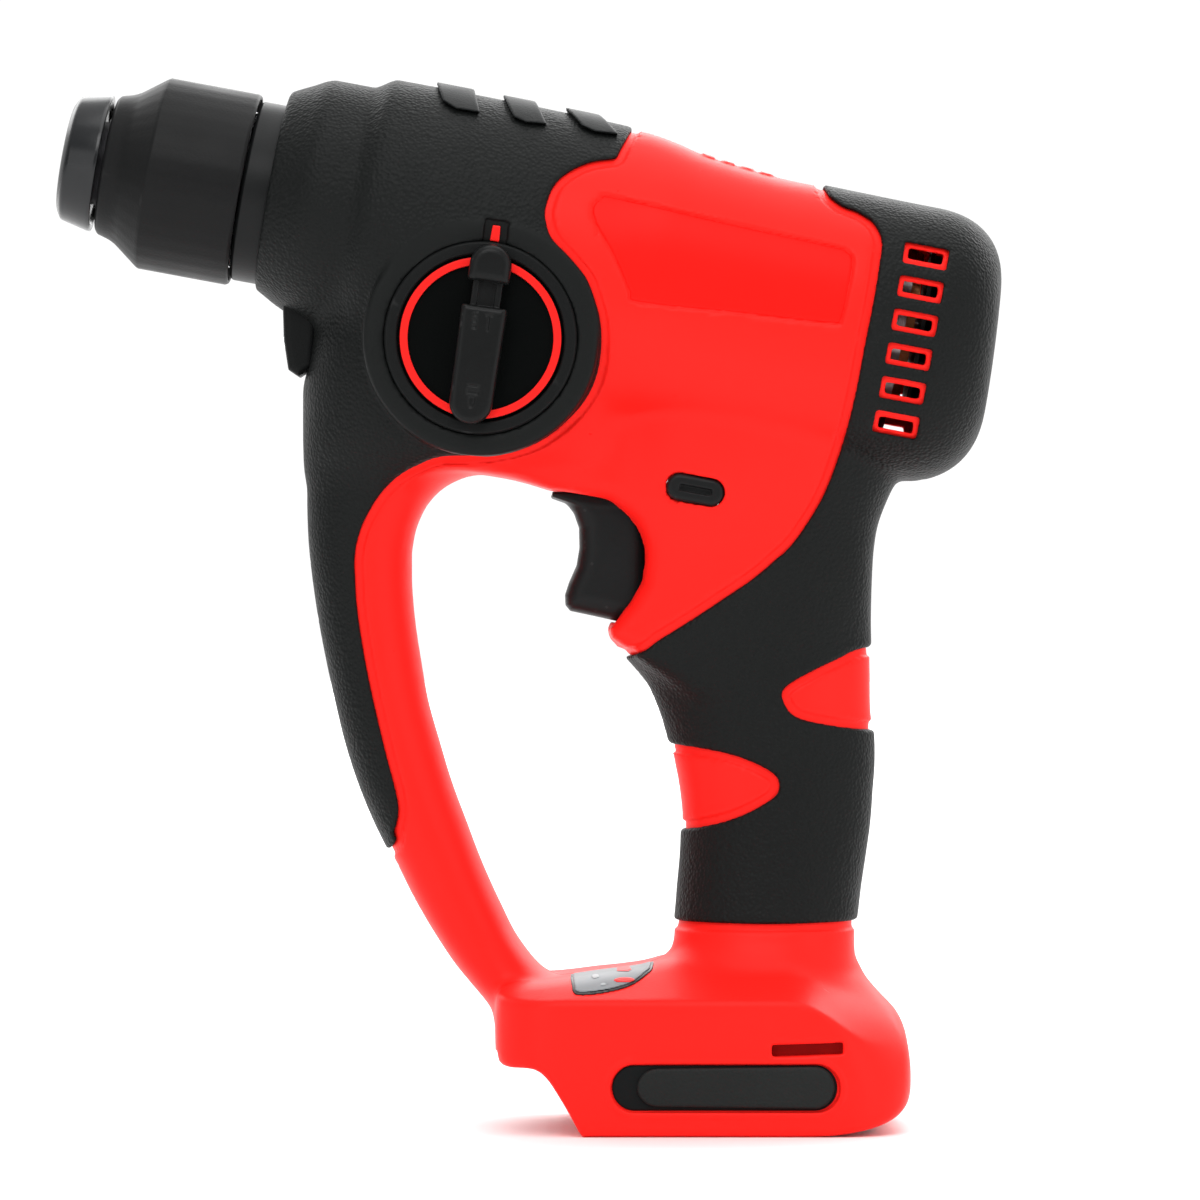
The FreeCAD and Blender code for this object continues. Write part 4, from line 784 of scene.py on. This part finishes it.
# Recessed side panels: a smoother face sunk into each red half.
block = Block((-41.0, -36.5, 196.0), (29.0, -20.0, 233.0), 0.35)
skin = block.distance()
plan = outline_distance(block.x2, block.z2, smooth_outline(SIDE_PANEL, 4))[:, None, :]
inset = soft_max(soft_max(plan + 0.5, skin + 0.62, 0.3), -1.5 - skin, 0.1)
for name, mirror in (("left", False), ("right", True)):
    mesh = mesh_from_field(name + "_panel", inset, block.low, block.step, mirror)
    add_object(name + "_side_panel", mesh, "housing", "red_abs", RED_SMOOTH)

# Status panel on the foot's sloping roof, with its surround, lights and marks.
block = Block((-47.0, -37.5, 32.0), (-20.0, -5.0, 45.0), 0.25)
skin = block.distance()
plan = outline_distance(block.x2, block.z2, smooth_outline(PANEL, 4))[:, None, :]
reach = np.maximum(-36.5 - block.y3, block.y3 + 6.5)
rim = soft_max(np.maximum(plan - 0.35, reach), skin - 0.22, 0.2)
add_object("status_panel_rim", block.mesh("panel_rim", np.maximum(rim, -0.9 - skin)), "housing", "gloss_black", GLOSS)
face = soft_max(np.maximum(plan + 0.35, reach + 0.5), skin - 0.42, 0.2)
add_object("status_panel_face", block.mesh("panel_face", np.maximum(face, -0.7 - skin)), "housing", "silver_label",
           SILVER, "status_panel")
for name, marks, material, slot in (
        ("status_light", [(-30.3, 37.9, 2.6, 0.6), (-30.4, 40.0, 2.0, 0.42)], RED_INLAY, "red_abs"),
        ("status_mark", [(-37.4, 38.6, 1.1, 0.42), (-35.4, 36.9, 0.9, 0.36), (-37.0, 40.9, 0.9, 0.32)], PALE,
         "white_plastic")):
    spots = np.minimum.reduce([
        np.sqrt(((block.x2 - x) / a) ** 2 + ((block.z2 - z - 0.03 * (block.x2 - x)) / b) ** 2) * b - b
        for x, z, a, b in marks])[:, None, :]
    spots = np.maximum(np.maximum(np.maximum(spots, reach + 0.6), skin - 0.52), 0.1 - skin)
    add_object(name, block.mesh(name, spots, settle=1), "housing", slot, material)

# Rubber pads in the foot's side recesses.
block = Block((-36.0, -41.0, 3.0), (26.0, -36.0, 21.0), 0.25)
base = np.maximum(rounded_box(block.x2 + 5.8, block.z2 - 12.1, 27.5, 5.6, 5.6)[:, None, :],
                  np.maximum(-38.25 - block.y3, block.y3 + 37.2))
taper = 4.6 + 0.012 * (block.x2 + 28)
raised = rounded_box(block.x2 + 3.1, (block.z2 - 12.2) * 5.0 / taper, 24.1, 5.0, 5.0)[:, None, :]
raised = soft_max(raised, np.maximum(-39.7 - block.y3, block.y3 + 37.4), 0.9)
for name, mirror in (("left", False), ("right", True)):
    mesh = mesh_from_field(name + "_pad", raised, block.low, block.step, mirror)
    add_object(name + "_foot_rubber", mesh, "housing", "seal_rubber", PAD_RUBBER, name + "_foot_pad")
    mesh = mesh_from_field(name + "_pad_bed", base, block.low, block.step, mirror)
    add_object(name + "_foot_rubber_bed", mesh, "housing", "seal_rubber", BED_RUBBER)

# Liner behind the slot in the foot's left wall, in a darkened red that paints the shade inside the slot.
block = Block((2.0, -36.6, 17.0), (27.0, -33.0, 26.0), 0.3)
liner = rounded_box(block.x2 - 14.4, block.z2 - 21.4, 10.6, 3.2, 1.0)[:, None, :]
liner = soft_max(liner, np.maximum(-35.6 - block.y3, block.y3 + 34.2), 0.3)
add_object("slot_liner", block.mesh("slot_liner", liner), "housing", "red_abs", RED_PAINTED_SHADE)

# Trigger: thick rounded blade with a thin lip under the roof.
block = Block((-49.5, -10.0, 124.5), (-21.5, 10.0, 159.5), 0.3)
blade = outline_distance(block.x2, block.z2, np.array(TRIGGER_OUTLINE[1:]))[:, None, :]
blade = soft_max(blade, np.abs(block.y3) - 9.3, 5.5)
lip = outline_distance(block.x2, block.z2, np.array(TRIGGER_LIP))[:, None, :]
lip = soft_max(lip, np.abs(block.y3) - 8.9, 1.0)
seam = np.maximum(np.abs(block.y3) - 0.16, -0.25 - blade)
blade = np.maximum(soft_min(blade, lip, 1.5), -seam)
add_object("trigger_blade", block.mesh("trigger_blade", blade), "trigger", "gloss_black", SATIN, "trigger")

# Push-through direction bar.
block = Block((-22.0, -25.0, 152.5), (-3.5, 25.0, 164.5), 0.25)
along = (block.x2 - BUTTON_X) * COS - (block.z2 - BUTTON_Z) * SIN
across = (block.x2 - BUTTON_X) * SIN + (block.z2 - BUTTON_Z) * COS
spot = D[int((BUTTON_X - LOW[0]) / STEP), :, int((BUTTON_Z - LOW[2]) / STEP)]
button_end = float(-ys[np.argmax(spot < 0)]) + 0.5
bar = soft_max(rounded_box(along, across, 7.22, 3.4, 3.4)[:, None, :], np.abs(block.y3) - button_end, 1.4)
groove = rounded_box(along - 0.1, across + 0.05, 4.0, 0.75, 0.15)[:, None, :]
bar = np.maximum(bar, -np.maximum(groove, button_end - 1.6 - np.abs(block.y3)))
add_object("direction_bar", block.mesh("direction_bar", bar), "push_bar", "gloss_black", SATIN, "push_bar")

# Lamp pod under the nose, with its lens.
block = Block((-117.0, -10.5, 185.0), (-105.0, 10.5, 208.0), 0.3)
pod = outline_distance(block.x2, block.z2, np.array([
    (-115.3, 206.5), (-115.0, 196.0), (-113.9, 188.6), (-111.4, 186.9), (-107.4, 189.5), (-106.0, 206.5)]))
pod = soft_max(pod[:, None, :], np.abs(block.y3) - 8.9 + 0.14 * (206 - block.z3) * 0.3, 2.2)
bulb = np.sqrt(((block.x3 + 113.6) / 2.2) ** 2 + (block.y3 / 4.1) ** 2 + ((block.z3 - 197.4) / 4.1) ** 2) * 2.2 - 2.2
socket = np.sqrt(block.y3**2 + (block.z3 - 197.4) ** 2) - 4.9
pod = np.maximum(pod, -np.maximum(socket, block.x3 + 114.0))
pod = np.maximum(pod, -(bulb - 0.1))
add_object("lamp_pod", block.mesh("lamp_pod", pod), "housing", "black_plastic", MATT, "lamp_housing")
add_object("lamp_glass", block.mesh("lamp_glass", bulb), "housing", "clear_lens", LENS, "lamp_lens")

# ------------------------------------------------------------------ mode dial

block = Block((-21.5, -22.5, 17.5), (21.5, 20.8, 41.6), 0.25)
across, up, out = block.x3, block.y3, block.z3
reach = np.sqrt(across**2 + up**2)
plate = soft_max(reach - 20.4, np.maximum(out - 33.9, 28.0 - out), 0.4)
stem = np.maximum(reach - 4.0, np.maximum(out - 30.0, 18.2 - out))
half = 5.62 - 0.016 * np.maximum(6.0 - up, 0)
tip = np.sqrt(across**2 + np.minimum(up + 16.1, 0) ** 2) - half
paddle = soft_max(tip, up - 7.6, 0.8)
marks = np.minimum.reduce([
    rounded_box(across - x, up - y, a, b, 0.1) for x, y, a, b in (
        (-1.9, 5.4, 0.55, 0.5), (-1.9, 3.7, 0.55, 0.35), (-1.9, 2.3, 0.55, 0.5), (1.5, 3.6, 0.22, 2.0),
        (1.5, 5.6, 0.95, 0.22), (0.1, -12.0, 1.5, 0.22), (0.1, -13.6, 1.4, 0.6), (0.1, -15.5, 0.8, 0.8),
        (0.1, -16.8, 0.4, 0.5))])
paddle = soft_max(paddle, out - 41.0, 1.7)
paddle = np.maximum(paddle, -np.maximum(marks, 40.65 - out))
paddle = np.maximum(paddle, 33.0 - out)
neck = np.maximum(rounded_box(across, up - 11.0, 3.65, 5.6, 0.3), np.maximum(out - 38.4, 33.0 - out))
neck = np.maximum(neck, -np.maximum(np.abs(across) - 2.1, 37.2 - out))
add_object("mode_dial_lever", block.mesh("mode_dial_lever", np.minimum(paddle, neck), LEVER), "mode_dial",
           "black_plastic", LEVER_BLACK, "mode_dial")
add_object("mode_dial_plate", block.mesh("mode_dial_plate", np.minimum(plate, stem), LEVER), "mode_dial",
           "black_plastic", DIAL_BLACK)

block = Block((-6.5, 12.0, 35.0), (6.5, 24.5, 41.8), 0.25)
across, up, out = block.x3, block.y3, block.z3
dome = np.sqrt(across**2 + np.maximum(up - 17.7, 0) ** 2) - 5.15
cap = soft_max(dome, 13.6 - up, 0.9)
lid = soft_max(cap, out - 41.2, 2.4)
lid = np.maximum(lid, 35.7 - out)
lid = np.maximum(lid, -np.maximum(np.maximum(np.abs(across) - 3.95, up - 20.0), out - 38.7))
add_object("lock_button", block.mesh("lock_button", lid, LEVER), "mode_lock", "gloss_black", LEVER_BLACK,
           "mode_lock_button")

add_object("dial_rim", lathe("dial_rim", [
    (20.65, 33.05), (23.62, 33.05), (23.62, 34.8, 0.15), (23.2, 35.45, 0.2), (20.95, 35.45, 0.15), (20.65, 35.2, 0.1),
], LEVER, 180), "housing", "black_plastic", MATT, "dial_bezel")
add_object("dial_ring", lathe("dial_ring", [
    (17.85, 33.7), (19.8, 33.7), (19.8, 35.05, 0.25), (17.85, 35.05, 0.25),
], LEVER, 180), "mode_dial", "red_abs", RED_INLAY, "dial_red_ring")
block = Block((-2.0, 23.0, 32.8), (2.0, 29.0, 35.2), 0.2)
sliver = outline_distance(block.x3[:, :, 0] + 0 * block.y3[0, :, 0], block.y3[0, :, 0] + 0 * block.x3[:, :, 0],
                          np.array([(-1.15, 23.9), (-0.95, 27.8), (0.95, 27.8), (1.15, 23.9)]))
sliver = soft_max(sliver[:, :, None], np.maximum(block.z3 - 34.7, 33.2 - block.z3), 0.3)
add_object("pointer_mark", block.mesh("pointer_mark", sliver, LEVER, settle=1), "housing", "red_abs", RED_INLAY,
           "dial_pointer")

# ------------------------------------------------------------------ chuck

add_object("chuck_dust_cap", lathe("chuck_dust_cap", [
    (6.05, 0.9, 0.3), (7.0, 0.1, 0.4), (12.9, 0.0, 0.9), (15.6, 1.4, 0.8), (17.2, 8.4, 0.2), (17.2, 9.2, 0.25),
    (15.6, 9.2, 0.2), (15.2, 8.2), (10.6, 8.2), (10.6, 3.0), (6.05, 3.0),
], BARREL), "spindle", "gloss_black", CAP_RUBBER, "dust_cap")
add_object("chuck_sleeve", lathe("chuck_sleeve", [
    (12.0, 11.2), (12.0, 10.5, 0.2), (16.6, 10.5, 0.3), (17.5, 11.2, 0.4), (18.35, 14.2, 1.2), (19.1, 15.8, 1.0),
    (23.7, 21.9, 0.25), (24.1, 22.6, 0.25), (24.1, 44.9, 0.2), (23.7, 45.6, 0.15), (23.0, 45.6, 0.15),
    (23.0, 38.2), (13.8, 38.2),
], BARREL, ripple=lambda turn, r, s: np.where((r > 18) & (s > 15), 0.03 * np.sin(36 * turn), 0.0)),
    "locking_sleeve", "black_plastic", SLEEVE, "locking_sleeve")
add_object("nose_collar", lathe("nose_collar", [
    (15.2, 45.9), (16.5, 45.9), (16.5, 51.9), (21.3, 51.9), (21.3, 45.9, 0.1), (22.0, 45.9, 0.2), (22.6, 46.6, 0.2),
    (22.6, 56.0), (21.9, 56.0), (21.9, 53.2), (15.2, 53.2),
], BARREL), "housing", "black_plastic", SATIN, "front_collar")

# ------------------------------------------------------------------ camera, light, floor

SLOT_MATERIAL = {
    "red_abs": RED, "black_tpe": TPE, "gloss_black": GLOSS, "black_plastic": SATIN, "white_plastic": PALE,
    "steel": STEEL, "bright_steel": BRIGHT, "cast_alloy": ALLOY, "copper": COPPER, "seal_rubber": SEAL,
    "clear_lens": LENS, "silver_label": SILVER, "contact_brass": BRASS,
}
SLOT_OF = {part["node"]: part["material_slot"] for part in frame["record"]["subparts"]}
for node_name, slot_name in SLOT_OF.items():
    piece = bpy.data.objects.get(node_name)
    if piece is None:
        continue
    # The spindle and the housing screws get the dark steel; on the spindle its darkness is painted shade in the chuck
    # gap.
    dark = node_name == "spindle" or node_name.startswith("housing_screw")
    finish = DARK_STEEL_PAINTED_SHADE if dark else SLOT_MATERIAL[slot_name]
    for index in range(len(piece.material_slots)):
        piece.material_slots[index].material = finish

scene = bpy.context.scene
camera_data = bpy.data.cameras.new("camera")
camera = bpy.data.objects.new("camera", camera_data)
scene.collection.objects.link(camera)
camera_data.sensor_width = 36.0
camera_data.lens = 198.0
camera_data.clip_start = 0.05
camera_data.clip_end = 20.0
camera.location = (-0.03625, -1.65, 0.13125)
camera.rotation_euler = (math.radians(90), 0, 0)
scene.camera = camera

world = bpy.data.worlds.new("studio")
scene.world = world
world.use_nodes = True
nodes, links = world.node_tree.nodes, world.node_tree.links
coordinates = nodes.new("ShaderNodeTexCoord")
fade = nodes.new("ShaderNodeMapRange")
toward = nodes.new("ShaderNodeVectorMath")
toward.operation = "DOT_PRODUCT"
toward.inputs[1].default_value = (0.2, 0.72, 0.62)
links.new(coordinates.outputs["Generated"], toward.inputs[0])
fade.inputs["From Min"].default_value = -0.6
fade.inputs["From Max"].default_value = 0.6
fade.inputs["To Min"].default_value = 0.25
fade.inputs["To Max"].default_value = 1.06
links.new(toward.outputs["Value"], fade.inputs["Value"])
# The backdrop itself is white from every side, and only the light it gives fades.
sight = nodes.new("ShaderNodeLightPath")
backdrop = nodes.new("ShaderNodeMath")
backdrop.operation = "MAXIMUM"
links.new(fade.outputs["Result"], backdrop.inputs[0])
links.new(sight.outputs["Is Camera Ray"], backdrop.inputs[1])
links.new(backdrop.outputs["Value"], nodes["Background"].inputs["Strength"])
nodes["Background"].inputs["Color"].default_value = (1, 1, 1, 1)
scene.view_settings.view_transform = "Standard"


def area_light(name, at, aim, size, power):
    data = bpy.data.lights.new(name, "AREA")
    data.shape = "RECTANGLE"
    data.size, data.size_y = size
    data.energy = power
    light = bpy.data.objects.new(name, data)
    scene.collection.objects.link(light)
    light.location = at
    light.rotation_euler = (Vector(aim) - Vector(at)).to_track_quat("-Z", "Y").to_euler()


middle = (-0.05, 0.0, 0.14)
area_light("key", (-0.15, -1.3, 1.1), middle, (0.9, 0.7), 9)
area_light("fill", (1.1, -1.0, 0.5), middle, (0.8, 1.0), 3.5)
area_light("front", (-0.9, -1.3, 0.35), middle, (0.8, 0.8), 2.5)
area_light("top", (0.1, -0.1, 1.2), middle, (1.2, 0.8), 5.5)
area_light("back", (0.4, 1.0, 0.6), middle, (1.0, 0.8), 2.5)
area_light("floor_glow", (0.0, 6.4, 3.0), (0.0, 6.4, 0.0), (12.0, 8.0), 620)

floor_mesh = bpy.data.meshes.new("floor")
floor_mesh.from_pydata([(-8, -1.9, 0), (8, -1.9, 0), (8, 9, 0), (-8, 9, 0)], [], [(0, 1, 2, 3)])
floor = bpy.data.objects.new("floor", floor_mesh)
scene.collection.objects.link(floor)
floor_material, nodes, links = new_material("studio_floor")
nodes["Principled BSDF"].inputs["Base Color"].default_value = (0.93, 0.93, 0.93, 1)
nodes["Principled BSDF"].inputs["Roughness"].default_value = 0.6
floor_mesh.materials.append(floor_material)
